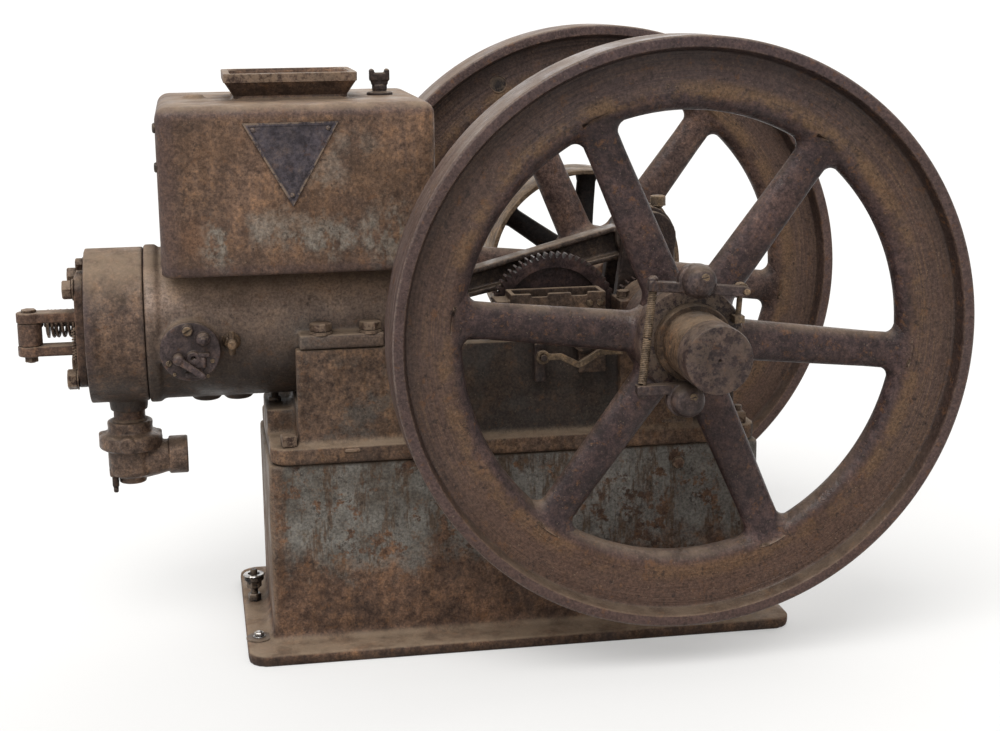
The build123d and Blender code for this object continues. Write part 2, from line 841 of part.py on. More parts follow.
def crank_half(side):
    """One web with its length of shaft."""
    inner = side * web_inner
    outer = side * (web_inner + web_thickness)
    low = min(inner, outer)
    high = max(inner, outer)
    web = rod_between(web_end_radius, (pin_x, low, pin_z), (pin_x, high, pin_z))
    web += rod_between(web_end_radius, (shaft_x, low, shaft_z), (shaft_x, high, shaft_z))
    frame = Plane(origin=(shaft_x, (low + high) / 2, shaft_z), x_dir=(pin_x - shaft_x, 0, pin_z - shaft_z),
                  z_dir=(0, -1, 0))
    arm = Pos(crank_radius / 2, 0) * Rectangle(crank_radius, 2 * web_end_radius)
    web += extrude(frame * arm, web_thickness / 2, both=True)
    end = shaft_far_end if side > 0 else shaft_near_end
    return web + rod_between(shaft_radius, (shaft_x, outer, shaft_z), (shaft_x, end, shaft_z))


def gear_blank(teeth, phase):
    """A spur gear's outline: one straight-sided tooth after another."""
    pitch = gear_module * teeth / 2
    tip = pitch + gear_module * tooth_tip_share
    root = pitch - gear_module * tooth_root_share
    step = 2 * math.pi / teeth
    slope = math.tan(math.radians(pressure_angle))
    half_pitch = step * tooth_width_share / 2
    half_tip = half_pitch - slope * (tip - pitch) / pitch
    half_root = half_pitch + slope * (pitch - root) / pitch
    points = []
    for tooth in range(teeth):
        middle = phase + tooth * step
        for radius, turn in ((root, -half_root), (tip, -half_tip), (tip, half_tip), (root, half_root)):
            angle = middle + turn
            points.append((radius * math.cos(angle), radius * math.sin(angle)))
    return Polygon(*points, align=None)


def gear_plane(x, z):
    """The gear's far face, drawn so that angles run from +X towards +Z."""
    return Plane(origin=(x, gear_near_face + gear_width, z), x_dir=(1, 0, 0), z_dir=(0, -1, 0))


def mesh_angle():
    """The direction from the crankshaft to the cam gear's centre."""
    return math.atan2(cam_z - shaft_z, cam_x - shaft_x)


def crank_pinion():
    frame = gear_plane(shaft_x, shaft_z)
    gear = extrude(frame * gear_blank(pinion_teeth, mesh_angle()), gear_width)
    return gear - extrude(frame * Circle(shaft_radius + running_gap), gear_width)


def cam_gear():
    frame = gear_plane(cam_x, cam_z)
    half_tooth = math.pi / gear_teeth
    gear = extrude(frame * gear_blank(gear_teeth, mesh_angle() + math.pi + half_tooth), gear_width)
    root = gear_module * gear_teeth / 2 - gear_module * tooth_root_share
    ring = Circle(root - gear_rim_thickness) - Circle(gear_hub_radius)
    pocket_depth = (gear_width - gear_web_thickness) / 2
    gear -= extrude(frame * ring, pocket_depth)
    gear -= extrude(frame.offset(gear_width) * ring, -pocket_depth)
    return gear - extrude(frame * Circle(cam_stud_radius + running_gap), gear_width)


def wheel_rim_section():
    """The rim's section, as radius and height above its middle plane, with a rounded inner belly."""
    half = wheel_width / 2
    floor = half - recess_depth
    face_outer = wheel_radius - lip_thickness
    upper = [
        (rim_floor_radius, floor),
        (face_outer - lip_shoulder, floor),
        (face_outer, half),
        (wheel_radius - rim_edge_chamfer, half),
        (wheel_radius, half - rim_edge_chamfer),
    ]
    lower = [(radius, -height) for radius, height in reversed(upper)]
    belly = ThreePointArc((rim_floor_radius, -floor), (rim_inner_radius, 0), (rim_floor_radius, floor))
    return make_face(Polyline(*upper, *lower) + belly)


def spoke(angle, middle_y):
    """A tapering oval spoke that flares into the hub and the rim."""
    along = Vector(math.cos(math.radians(angle)), 0, math.sin(math.radians(angle)))
    stations = [
        (wheel_hub_radius - spoke_fillet, 2 * spoke_fillet, spoke_root_width, spoke_root_depth),
        (wheel_hub_radius + 0.3 * spoke_fillet, spoke_fillet, spoke_root_width, spoke_root_depth),
        (wheel_hub_radius + 1.3 * spoke_fillet, 0, spoke_root_width, spoke_root_depth),
        (rim_inner_radius - spoke_fillet, 0, spoke_tip_width, spoke_tip_depth),
        (rim_inner_radius - 0.2 * spoke_fillet, 0.8 * spoke_fillet, spoke_tip_width, spoke_tip_depth),
        (rim_inner_radius + 0.7 * spoke_fillet, 2 * spoke_fillet, spoke_tip_width, spoke_tip_depth),
    ]
    sections = []
    for radius, flare, width, depth in stations:
        centre = Vector(shaft_x, middle_y, shaft_z) + along * radius
        plane = Plane(origin=centre, x_dir=(0, 1, 0), z_dir=along)
        sections.append(plane * Ellipse((depth + flare / 4) / 2, (width + flare) / 2))
    return loft(sections, ruled=True)


def flywheel(middle_y, front, back):
    """A cast wheel; front and back are the hub's reach from the middle plane."""
    frame = Plane(origin=(shaft_x, middle_y, shaft_z), x_dir=(1, 0, 0), z_dir=(0, 0, 1))
    wheel = revolve(frame * wheel_rim_section(), Axis((shaft_x, middle_y, shaft_z), (0, 1, 0)))
    hub = rod_between(wheel_hub_radius, (shaft_x, middle_y - front, shaft_z),
                      (shaft_x, middle_y + back, shaft_z))
    wheel += hub
    for index in range(spoke_count):
        wheel += spoke(spoke_start_angle + index * 360 / spoke_count, middle_y)
    return wheel - rod_between(shaft_radius + running_gap, (shaft_x, middle_y - front - 1, shaft_z),
                               (shaft_x, middle_y + back + 1, shaft_z))


def flywheel_near():
    return flywheel(near_wheel_mid, near_hub_front, wheel_hub_back)


def flywheel_far():
    wheel = flywheel(far_wheel_mid, wheel_hub_back, near_hub_front)
    turn = math.radians(balance_hole_angle)
    x = shaft_x + balance_hole_at * math.cos(turn)
    z = shaft_z + balance_hole_at * math.sin(turn)
    face = far_wheel_mid - wheel_width / 2 + recess_depth
    return wheel - rod_between(balance_hole_radius, (x, face - 1, z), (x, face + balance_hole_depth, z))


def hub_barrel():
    """The long round boss with its stepped ring on the near flywheel's hub."""
    ring = rod_between(stub_ring_radius, (shaft_x, near_hub_face - stub_ring_width, shaft_z),
                       (shaft_x, near_hub_face, shaft_z))
    barrel = rod_between(stub_radius, (shaft_x, stub_end, shaft_z), (shaft_x, near_hub_face, shaft_z))
    barrel = chamfer(barrel.edges().sort_by(Axis.Y)[0], stub_edge_chamfer)
    return ring + barrel


def belt_pulley():
    far_edge = pulley_near_edge + pulley_face
    centre = (shaft_x, pulley_near_edge, shaft_z)
    rim = rod_between(pulley_radius, centre, (shaft_x, far_edge, shaft_z))
    rim -= rod_between(pulley_radius - pulley_rim_thickness, (shaft_x, pulley_near_edge - 1, shaft_z),
                       (shaft_x, far_edge + 1, shaft_z))
    hub = rod_between(pulley_hub_radius, centre, (shaft_x, far_edge, shaft_z))
    middle = pulley_near_edge + pulley_face / 2
    pulley = rim + hub
    reach = pulley_radius - pulley_rim_thickness / 2
    for index in range(spoke_count):
        turn = math.radians(pulley_spoke_start_angle + index * 360 / spoke_count)
        along = Vector(math.cos(turn), 0, math.sin(turn))
        origin = Vector(shaft_x, middle, shaft_z) + along * (pulley_hub_radius - pulley_rim_thickness)
        plane = Plane(origin=origin, x_dir=(0, 1, 0), z_dir=along)
        oval = plane * Ellipse(pulley_spoke_depth / 2, pulley_spoke_width / 2)
        pulley += extrude(oval, reach - pulley_hub_radius + pulley_rim_thickness)
    return pulley - rod_between(shaft_radius + running_gap, (shaft_x, pulley_near_edge - 1, shaft_z),
                                (shaft_x, far_edge + 1, shaft_z))


def governor_front():
    """The Y planes between which the governor bars swing."""
    far = near_hub_face - governor_front_gap
    return far - governor_bar_depth, far


def governor_pivot(side):
    """Where a weight bar pivots; the lower one sits a little nearer to the shaft."""
    along, up = upper_pivot if side > 0 else lower_pivot
    return shaft_x + along, shaft_z + up


def governor_free_end(side):
    """The free end of a bar's centre line; the upper bar climbs towards it."""
    pivot_x, pivot_z = governor_pivot(side)
    climb = upper_bar_climb if side > 0 else 0
    return pivot_x - governor_bar_length, pivot_z + climb


def governor_lug(side):
    """The screw near a bar's free end, where the spring hooks on."""
    end_x, end_z = governor_free_end(side)
    return end_x + governor_lug_inset, end_z


def governor_post(side):
    """The block, rod, eye and pin that one weight bar pivots on."""
    near, far = governor_front()
    x, pivot_z = governor_pivot(side)
    foot_x = shaft_x + post_foot_x
    foot_z = shaft_z + side * post_foot_z
    eye_near = far + post_eye_gap
    post_y = (eye_near + near_hub_face) / 2
    foot = block((foot_x - post_foot_half_length, foot_x + post_foot_half_length), (eye_near, near_hub_face),
                 (foot_z - post_foot_half_height, foot_z + post_foot_half_height))
    rod = rod_between(post_radius, (foot_x, post_y, foot_z), (x, post_y, pivot_z))
    eye = rod_between(post_eye_radius, (x, eye_near, pivot_z), (x, post_y + post_radius, pivot_z))
    pin = rod_between(governor_pin_radius, (x, near - governor_pin_beyond, pivot_z), (x, post_y, pivot_z))
    return foot + rod + eye + pin


def governor_weight(side):
    """A weight bar with its round weight, hung from one end."""
    near, far = governor_front()
    pivot_x, pivot_z = governor_pivot(side)
    end_x, end_z = governor_free_end(side)
    half = governor_bar_height / 2
    outline = [
        (end_x, end_z - half),
        (pivot_x, pivot_z - half),
        (pivot_x, pivot_z + half),
        (end_x, end_z + half),
    ]
    bar = side_profile(outline, near, far)
    bar += rod_between(half, (pivot_x, near, pivot_z), (pivot_x, far, pivot_z))
    weight_x = pivot_x - weight_at
    weight_z = pivot_z + side * (upper_weight_rise if side > 0 else lower_weight_rise)
    back = near_hub_face - weight_back_gap
    bar += rod_between(weight_radius, (weight_x, back - weight_depth, weight_z), (weight_x, back, weight_z))
    lug_x, lug_z = governor_lug(side)
    middle = (near + far) / 2
    bar += rod_between(governor_lug_radius, (lug_x, middle, lug_z),
                       (lug_x, middle, lug_z + side * governor_lug_reach))
    return bar - rod_between(governor_pin_radius + running_gap, (pivot_x, near - 1, pivot_z),
                             (pivot_x, far + 1, pivot_z))


def governor_spring():
    """The closely wound spring between the free ends of the two bars."""
    near, far = governor_front()
    ends = []
    for side in (-1, 1):
        lug_x, lug_z = governor_lug(side)
        inner_face = lug_z - side * (governor_bar_height / 2 + governor_spring_gap)
        ends.append((lug_x, (near + far) / 2, inner_face))
    return rod_between(governor_spring_radius, *ends)


def magneto_bracket():
    """An open tray on a leg from the near wall; the magneto itself is gone."""
    tray = block((tray_left, tray_right), (tray_near, tray_far), (tray_bottom, tray_top))
    tray -= block((tray_left + tray_wall, tray_right - tray_wall),
                  (tray_near + tray_wall, tray_far - tray_wall), (tray_bottom + tray_floor, tray_top + 1))
    span = tray_right - tray_left
    for share in tray_notch_shares:
        x = tray_left + span * share
        tray -= block((x - tray_notch_half_width, x + tray_notch_half_width),
                      (tray_near - 1, tray_near + tray_wall + 1), (tray_top - tray_notch_depth, tray_top + 1))
    tray += block((tray_left - tray_ledge, tray_left), (tray_near + tray_ledge_near, tray_far),
                  (tray_bottom, tray_top - tray_ledge_drop))
    leg_near = -bed_wall_outer - tray_leg_thickness
    leg_low = bed_wall_top - tray_leg_overlap
    tray += block((tray_right - tray_leg_width, tray_right), (leg_near, -bed_wall_outer),
                  (leg_low, tray_bottom))
    return tray + rod_between(roller_radius, (roller_x, leg_near - roller_width, roller_z),
                              (roller_x, leg_near, roller_z))


def latch_fork():
    """The hanging fork that the latch lever swings on."""
    far = -bed_wall_outer
    near = latch_near - latch_thickness - fork_pin_beyond
    x = latch_pin_x
    plate = block((x - fork_half_width, x + fork_half_width), (far - fork_depth, far),
                  (latch_pin_z - fork_drop, bed_wall_top - fork_top_gap))
    pin = rod_between(latch_pin_radius, (x, near, latch_pin_z), (x, far - fork_depth + sink, latch_pin_z))
    return plate + pin


def latch_lever():
    """The wavy lever: a bar with one dip, level at both ends."""
    x = latch_pin_x
    z = latch_pin_z
    dip_at = x + latch_length * latch_dip_share
    route = FilletPolyline((x, z), (dip_at - latch_dip_left, z), (dip_at, z - latch_dip),
                           (dip_at + latch_dip_right, z + latch_end_rise),
                           (x + latch_length, z + latch_end_rise), radius=latch_bend_radius)
    plane = Plane(origin=(0, latch_near, 0), x_dir=(1, 0, 0), z_dir=(0, -1, 0))
    bar = extrude(plane * trace(route, latch_height), latch_thickness)
    bar += rod_between(latch_pin_radius + latch_eye_margin, (x, latch_near - latch_thickness, z),
                       (x, latch_near, z))
    return bar - rod_between(latch_pin_radius + running_gap, (x, latch_near - latch_thickness - 1, z),
                             (x, latch_near + 1, z))


def parts():
    return {
        "sub_base": sub_base(),
        "engine_bed": engine_bed(),
        "cylinder_hopper": cylinder_hopper(),
        "cylinder_head": cylinder_head(),
        "valve_plate": valve_plate(),
        "rocker_pin": rocker_pin(),
        "rocker_arm": rocker_arm(),
        "exhaust_valve": exhaust_valve(),
        "valve_spring": valve_spring(),
        "mixer_pipe": mixer_pipe(),
        "fuel_mixer": fuel_mixer(),
        "mixer_needle": mixer_needle(),
        "igniter_plate": igniter_plate(),
        "igniter_trip": igniter_trip(),
        "priming_cock": priming_cock(),
        "badge_plate": badge_plate(),
        "hopper_fitting": hopper_drain_fitting(),
        "cylinder_prop": cylinder_prop(),
        "bearing_cap_near": bearing_cap(-1),
        "bearing_cap_far": bearing_cap(1),
        "cam_stud": cam_stud(),
        "piston": piston(),
        "wrist_pin": wrist_pin(),
        "connecting_rod": connecting_rod(),
        "rod_cap": rod_cap(),
        "crank_pin": crank_pin(),
        "grease_cup": grease_cup(),
        "magneto_bracket": magneto_bracket(),
        "latch_fork": latch_fork(),
        "latch_lever": latch_lever(),
        "crankshaft_near": crank_half(-1),
        "crankshaft_far": crank_half(1),
        "crank_pinion": crank_pinion(),
        "flywheel_near": flywheel_near(),
        "flywheel_far": flywheel_far(),
        "belt_pulley": belt_pulley(),
        "hub_barrel": hub_barrel(),
        "governor_post_upper": governor_post(1),
        "governor_post_lower": governor_post(-1),
        "governor_weight_upper": governor_weight(1),
        "governor_weight_lower": governor_weight(-1),
        "governor_spring": governor_spring(),
        "cam_gear": cam_gear(),
    }


os.makedirs("parts", exist_ok=True)
for name, shape in parts().items():
    export_step(shape, f"parts/{name}.step")
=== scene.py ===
import bmesh
import bpy
from math import asin, cos, hypot, pi, radians, sin, sqrt
from mathutils import Matrix, Vector


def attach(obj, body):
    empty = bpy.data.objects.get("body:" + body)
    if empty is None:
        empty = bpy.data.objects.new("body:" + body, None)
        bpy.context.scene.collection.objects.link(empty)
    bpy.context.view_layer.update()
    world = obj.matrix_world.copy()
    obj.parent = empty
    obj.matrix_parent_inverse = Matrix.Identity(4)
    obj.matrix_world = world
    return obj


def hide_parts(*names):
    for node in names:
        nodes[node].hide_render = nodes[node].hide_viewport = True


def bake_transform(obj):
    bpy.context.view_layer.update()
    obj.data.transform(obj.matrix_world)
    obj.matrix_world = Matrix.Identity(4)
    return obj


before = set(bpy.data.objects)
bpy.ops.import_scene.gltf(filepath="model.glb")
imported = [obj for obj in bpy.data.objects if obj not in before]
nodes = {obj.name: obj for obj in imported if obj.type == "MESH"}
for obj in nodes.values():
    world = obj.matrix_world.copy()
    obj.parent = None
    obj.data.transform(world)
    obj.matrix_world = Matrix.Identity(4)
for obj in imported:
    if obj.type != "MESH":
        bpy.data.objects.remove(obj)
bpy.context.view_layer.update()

# The stationary engine's looks: castings with soft edges, bolts, springs and old iron.
# Sizes are written in millimetres and turned into metres where a mesh is made.

MM = 0.001
FULL = 2 * pi
LEFT = (-1, 0, 0)
RIGHT = (1, 0, 0)
NEAR = (0, -1, 0)
FAR = (0, 1, 0)
UP = (0, 0, 1)

# Driving places, the same as the CAD's
SHAFT_X = 204
SHAFT_Z = 471
CYLINDER_Z = 466
BARREL_RADIUS = 110
WHEEL_RADIUS = 406.4
NEAR_MID = -283
FAR_MID = 271
PLATE_FACE = -621.2
HEAD_FACE = -607.2
BED_TOP = 304
LUG_TOP = 464
FOOT_TOP = 17
AIR_PIPE_Z = 267


# Meshes

def cross_axes(axis):
    """Two directions at right angles to an axis and to each other."""
    along = Vector(axis).normalized()
    helper = Vector(UP) if abs(along.z) < 0.9 else Vector(RIGHT)
    across = helper.cross(along).normalized()
    return across, along.cross(across), along


def circle(middle, across, above, radius, count, turn=0.0):
    """Points round a middle, from one direction towards another."""
    angles = [turn + FULL * index / count for index in range(count)]
    return [middle + (across * cos(angle) + above * sin(angle)) * radius for angle in angles]


def bevelled(low, high, bevel):
    """(inset, level) at the two ends of a form with bevelled edges."""
    return (bevel, low), (0, low + bevel), (0, high - bevel), (bevel, high)


class Shape:
    """The points and faces of one piece, gathered in millimetres."""

    def __init__(self):
        self.points = []
        self.faces = []

    def add(self, points, faces):
        base = len(self.points)
        self.points += [tuple(point) for point in points]
        self.faces += [[base + index for index in face] for face in faces]

    def rings(self, rings, closed=False):
        """Skins a run of equal rings; an open run is capped at both ends."""
        count = len(rings[0])
        points = [point for ring in rings for point in ring]
        faces = []
        spans = len(rings) if closed else len(rings) - 1
        for step in range(spans):
            here = step * count
            there = (step + 1) % len(rings) * count
            for index in range(count):
                other = (index + 1) % count
                faces.append((here + index, here + other, there + other, there + index))
        if not closed:
            faces.append(tuple(range(count)))
            faces.append(tuple(range(len(points) - count, len(points))))
        self.add(points, faces)

    def turned(self, centre, axis, profile, segments=48, closed=False):
        """A profile of (radius, distance) turned about an axis through centre."""
        across, above, along = cross_axes(axis)
        self.rings([circle(Vector(centre) + along * distance, across, above, radius, segments)
                    for radius, distance in profile], closed)

    def prism(self, centre, axis, radius, low, high, sides=6, bevel=1.0, turn=0.0):
        """A many-sided bar between two distances, with bevelled ends."""
        across, above, along = cross_axes(axis)
        self.rings([circle(Vector(centre) + along * distance, across, above, radius - inset, sides, turn)
                    for inset, distance in bevelled(low, high, bevel)])

    def hex_bolt(self, seat, axis, across_flats, height, turn):
        """A washer face and a domed hexagon head."""
        corner = across_flats / sqrt(3)
        self.turned(seat, axis, [(corner * 1.02, 0), (corner * 1.02, 1.5), (corner * 0.97, 2)], 28)
        self.prism(seat, axis, corner, 1.5, height, 6, height * 0.12, turn)
        dome = across_flats / 2
        self.turned(seat, axis, [(dome * 0.98, height - 1.5), (dome * 0.9, height - 0.2),
                                 (dome * 0.6, height + 0.5)], 24)

    def slotted_screw(self, seat, axis, radius, height, turn):
        """A low round head in two halves with the slot between them."""
        across, above, along = cross_axes(axis)
        seat = Vector(seat)
        self.turned(seat, axis, [(radius, 0), (radius, height * 0.35)], 28)
        gap = radius * 0.16
        start = asin(gap / radius)
        for side in (1, -1):
            rings = []
            for share, rise in ((1.0, 0.35), (1.0, 0.72), (0.86, 0.94), (0.5, 1.0)):
                ring = []
                for index in range(15):
                    angle = start + (pi - 2 * start) * index / 14
                    u = radius * share * cos(angle)
                    v = side * max(radius * share * sin(angle), gap)
                    place = across * (u * cos(turn) - v * sin(turn))
                    place += above * (u * sin(turn) + v * cos(turn))
                    ring.append(seat + place + along * (height * rise))
                rings.append(ring)
            self.rings(rings)

    def block(self, low, high, bevel):
        """A block with every edge rounded off by a small flat."""
        low = Vector(low)
        high = Vector(high)
        rings = []
        for inset, z in bevelled(low.z, high.z, bevel):
            left = low.x + inset
            right = high.x - inset
            near = low.y + inset
            far = high.y - inset
            rings.append([(left + bevel, near, z), (right - bevel, near, z), (right, near + bevel, z),
                          (right, far - bevel, z), (right - bevel, far, z), (left + bevel, far, z),
                          (left, far - bevel, z), (left, near + bevel, z)])
        self.rings(rings)

    def tube(self, path, radius, sides):
        """A round bar along a path; radius is one value or one for each point."""
        count = len(path)
        path = [Vector(point) for point in path]
        sizes = radius if isinstance(radius, list) else [radius] * count
        normal = None
        rings = []
        for index, point in enumerate(path):
            along = (path[min(index + 1, count - 1)] - path[max(index - 1, 0)]).normalized()
            if normal is None:
                normal = cross_axes(along)[0]
            normal = (normal - along * normal.dot(along)).normalized()
            rings.append(circle(point, normal, along.cross(normal), sizes[index], sides))
        self.rings(rings)

    def extruded(self, outline, origin, across, above, low, high, bevel):
        """An outline of (u, v) points pushed along its normal from low to high."""
        across = Vector(across)
        above = Vector(above)
        normal = across.cross(above)
        origin = Vector(origin)
        middle_u = sum(point[0] for point in outline) / len(outline)
        middle_v = sum(point[1] for point in outline) / len(outline)
        reach = max(hypot(u - middle_u, v - middle_v) for u, v in outline)
        rings = []
        for inset, level in bevelled(low, high, bevel):
            share = 1 - inset / reach
            rings.append([origin + across * (middle_u + (u - middle_u) * share)
                          + above * (middle_v + (v - middle_v) * share) + normal * level for u, v in outline])
        self.rings(rings)

    def mesh(self, name):
        mesh = bpy.data.meshes.new(name)
        mesh.from_pydata([[value * MM for value in point] for point in self.points], [], self.faces)
        work = bmesh.new()
        work.from_mesh(mesh)
        bmesh.ops.recalc_face_normals(work, faces=work.faces)
        work.to_mesh(mesh)
        work.free()
        return mesh


def new_object(name, data):
    piece = bpy.data.objects.new(name, data)
    bpy.context.scene.collection.objects.link(piece)
    return piece


def dress(piece, body, material, replaced=()):
    """Gives a piece its material and body, and hides the CAD nodes it replaces."""
    piece.data.materials.clear()
    piece.data.materials.append(MATERIALS[material])
    if body:
        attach(piece, body)
    if replaced:
        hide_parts(*replaced)
    return piece


def smooth_shade(piece, angle):
    for face in piece.data.polygons:
        face.use_smooth = True
    piece.data.set_sharp_from_angle(angle=radians(angle))


def shaped(name, shape, material, replaced=(), angle=30, body="engine_frame"):
    """A piece straight from its points."""
    piece = new_object(name, shape.mesh(name))
    smooth_shade(piece, angle)
    return dress(piece, body, material, replaced)


def apply_modifiers(piece):
    graph = bpy.context.evaluated_depsgraph_get()
    mesh = bpy.data.meshes.new_from_object(piece.evaluated_get(graph))
    piece.modifiers.clear()
    piece.data = mesh


def melt(piece, voxel, passes, keep):
    """Fuses a mesh's solids into one skin and softens its edges as casting does."""
    remesh = piece.modifiers.new("fuse", "REMESH")
    remesh.mode = "VOXEL"
    remesh.voxel_size = voxel * MM
    soften = piece.modifiers.new("soften", "SMOOTH")
    soften.factor = 0.5
    soften.iterations = passes
    thin = piece.modifiers.new("thin", "DECIMATE")
    thin.ratio = keep
    apply_modifiers(piece)
    for face in piece.data.polygons:
        face.use_smooth = True


def cast_skin(name, node, voxel, passes, keep, slot, material, more=None, body="engine_frame"):
    """A cast skin over one CAD node, and over more forms fused with it."""
    piece = new_object(name, nodes[node].data.copy())
    piece.data.materials.clear()
    work = bmesh.new()
    work.from_mesh(piece.data)
    bmesh.ops.remove_doubles(work, verts=work.verts, dist=0.00001)
    if more:
        work.from_mesh(more.mesh(name + "_more"))
    work.to_mesh(piece.data)
    work.free()
    melt(piece, voxel, passes, keep)
    return dress(piece, body, material, (node,))


def fused(name, shape, voxel, passes, keep, material, replaced=(), body="engine_frame"):
    """Overlapping forms melted into one casting."""
    piece = new_object(name, shape.mesh(name))
    melt(piece, voxel, passes, keep)
    return dress(piece, body, material, replaced)


def arc(centre, radius, start, end, steps):
    """Points of an arc in a plane, angles in degrees."""
    turns = [radians(start + (end - start) * index / steps) for index in range(steps + 1)]
    return [(centre[0] + radius * cos(turn), centre[1] + radius * sin(turn)) for turn in turns]


# Materials

class Value:
    """What a material works out at each point, with the usual arithmetic."""

    def __init__(self, tree, socket):
        self.tree = tree
        self.socket = socket

    def maths(self, operation, other=0.0):
        made = add_node(self.tree, "ShaderNodeMath", (0, self), (1, other), operation=operation)
        return Value(self.tree, made.outputs[0])

    def __add__(self, other):
        return self.maths("ADD", other)

    def __sub__(self, other):
        return self.maths("SUBTRACT", other)

    def __mul__(self, other):
        return self.maths("MULTIPLY", other)

    def __truediv__(self, other):
        return self.maths("DIVIDE", other)

    def span(self, low, high, to_low=0.0, to_high=1.0):
        """The range from low to high mapped to another, held at both ends."""
        made = add_node(self.tree, "ShaderNodeMapRange", (0, self), (1, low), (2, high), (3, to_low),
                        (4, to_high), interpolation_type="SMOOTHSTEP")
        return Value(self.tree, made.outputs[0])

    def band(self, start, full, fading, end):
        """1 from full to fading, 0 before start and after end."""
        return self.span(start, full) * self.span(end, fading)


def add_node(tree, kind, *values, **settings):
    """A node with its settings; each value is an input, and a number, a colour or what feeds it."""
    made = tree.nodes.new(kind)
    for key, setting in settings.items():
        setattr(made, key, setting)
    for index, value in values:
        if isinstance(value, Value):
            value = value.socket
        if isinstance(value, bpy.types.NodeSocket):
            tree.links.new(value, made.inputs[index])
        else:
            made.inputs[index].default_value = value
    return made


class Surface:
    """A procedural material built from short calls; places are object coordinates."""

    def __init__(self, name, seed):
        self.material = bpy.data.materials.new(name)
        self.material.use_nodes = True
        self.tree = self.material.node_tree
        self.tree.nodes.clear()
        self.seed = seed
        self.more_height = None
        coordinates = add_node(self.tree, "ShaderNodeTexCoord").outputs
        self.place = coordinates["Object"]
        self.x, self.y, self.z = self.parts(self.place)
        self.upward = self.parts(coordinates["Normal"])[2]

    def parts(self, vector):
        split = add_node(self.tree, "ShaderNodeSeparateXYZ", (0, vector))
        return [Value(self.tree, socket) for socket in split.outputs]

    def value(self, kind, *values, output=0, **settings):
        return Value(self.tree, add_node(self.tree, kind, *values, **settings).outputs[output])

    def noise(self, scale, detail, rough, stretch=(1, 1, 1), shift=0.0, place=None):
        start = (self.seed + shift, 0.37 * self.seed, 0.11 * self.seed - shift)
        moved = self.value("ShaderNodeMapping", (0, place or self.place), (1, start), (3, stretch))
        return self.value("ShaderNodeTexNoise", (0, moved), (2, scale), (3, detail), (4, rough))

    def ramp(self, value, stops):
        made = add_node(self.tree, "ShaderNodeValToRGB", (0, value))
        band = made.color_ramp
        while len(band.elements) < len(stops):
            band.elements.new(0.5)
        for element, (place, colour) in zip(band.elements, stops):
            element.position = place
            element.color = (*colour, 1)
        return Value(self.tree, made.outputs[0])

    def mix(self, share, low, high, blend="MIX"):
        ends = [end if isinstance(end, Value) else (*end, 1) for end in (low, high)]
        return self.value("ShaderNodeMix", (0, share), (6, ends[0]), (7, ends[1]), output=2,
                          data_type="RGBA", blend_type=blend)

    def shades(self, colour, value, spread, depth, warmth=0.06):
        """Darker and warmer-lighter versions of a colour, chosen by a noise value."""
        dark = (1 - depth, 1 - depth * 1.05, 1 - depth * 1.08)
        light = (1 + depth + warmth, 1 + depth, 1 + depth - 2 * warmth)
        tint = self.ramp(value, [(0.5 - spread, dark), (0.5, (1, 1, 1)), (0.5 + spread, light)])
        return self.mix(1.0, colour, tint, "MULTIPLY")

    def pits(self, scale, low, high):
        """Small round pits, 1 inside."""
        cells = self.value("ShaderNodeTexVoronoi", (0, self.place), (2, scale), output="Distance")
        return cells.span(low, high, 1.0, 0.0)

    def polar(self):
        """Radius from the shaft's axis, and a place whose first axis is the radius."""
        across = self.x - SHAFT_X * MM
        above = self.z - SHAFT_Z * MM
        radius = (across * across + above * above).maths("SQRT")
        wound = add_node(self.tree, "ShaderNodeCombineXYZ", (0, radius * 6.0 + self.y * 2.0),
                         (1, across / radius * 0.05), (2, above / radius * 0.05))
        return radius, across, above, wound.outputs[0]

    def spot(self, x, z, half_x, half_z, ragged=0.5):
        """A ragged patch on a side wall, 1 in its middle."""
        u = (self.x - x * MM) / (half_x * MM)
        v = (self.z - z * MM) / (half_z * MM)
        rag = self.noise(42, 4, 0.75, shift=x)
        away = (u * u + v * v).maths("SQRT") + (rag - 0.5) * (3.4 * ragged)
        return away.span(0.4, 1.2, 1.0, 0.0)

    def finish(self, colour, rough, height, grain, metal):
        """Colour, roughness and relief from nodes, plain numbers for the rest."""
        lifted = self.value("ShaderNodeBump", (0, grain), (1, RELIEF), ("Height", height))
        shader = self.value("ShaderNodeBsdfPrincipled", ("Base Color", colour), ("Roughness", rough),
                            ("Normal", lifted), ("Metallic", metal), ("Specular IOR Level", GLOSS))
        add_node(self.tree, "ShaderNodeOutputMaterial", (0, shader))
        return self.material


# The relief's depth in metres, the shader's gloss, and the colours that all old iron shares
RELIEF = 0.0016
GLOSS = 0.22
ORANGE_RUST = (0.165, 0.078, 0.036)
DARK_SPECK = (0.022, 0.015, 0.013)
PALE_FLECK = (0.30, 0.225, 0.155)
DUST = (0.29, 0.213, 0.146)
WORN_EDGE = (0.25, 0.18, 0.125)
# Painted shade for corners and creases, where ambient occlusion finds them within this reach
CORNER_SHADE = (0.016, 0.011, 0.009)
SHADE_REACH = 0.03


def four_tones(red, green, blue):
    """Four tones from dark to light round one colour."""
    return [(0.31, (red * 0.58, green * 0.57, blue * 0.6)), (0.45, (red * 0.87, green * 0.88, blue * 0.94)),
            (0.55, (red * 1.12, green * 1.13, blue * 1.2)), (0.69, (red * 1.45, green * 1.44, blue * 1.48))]


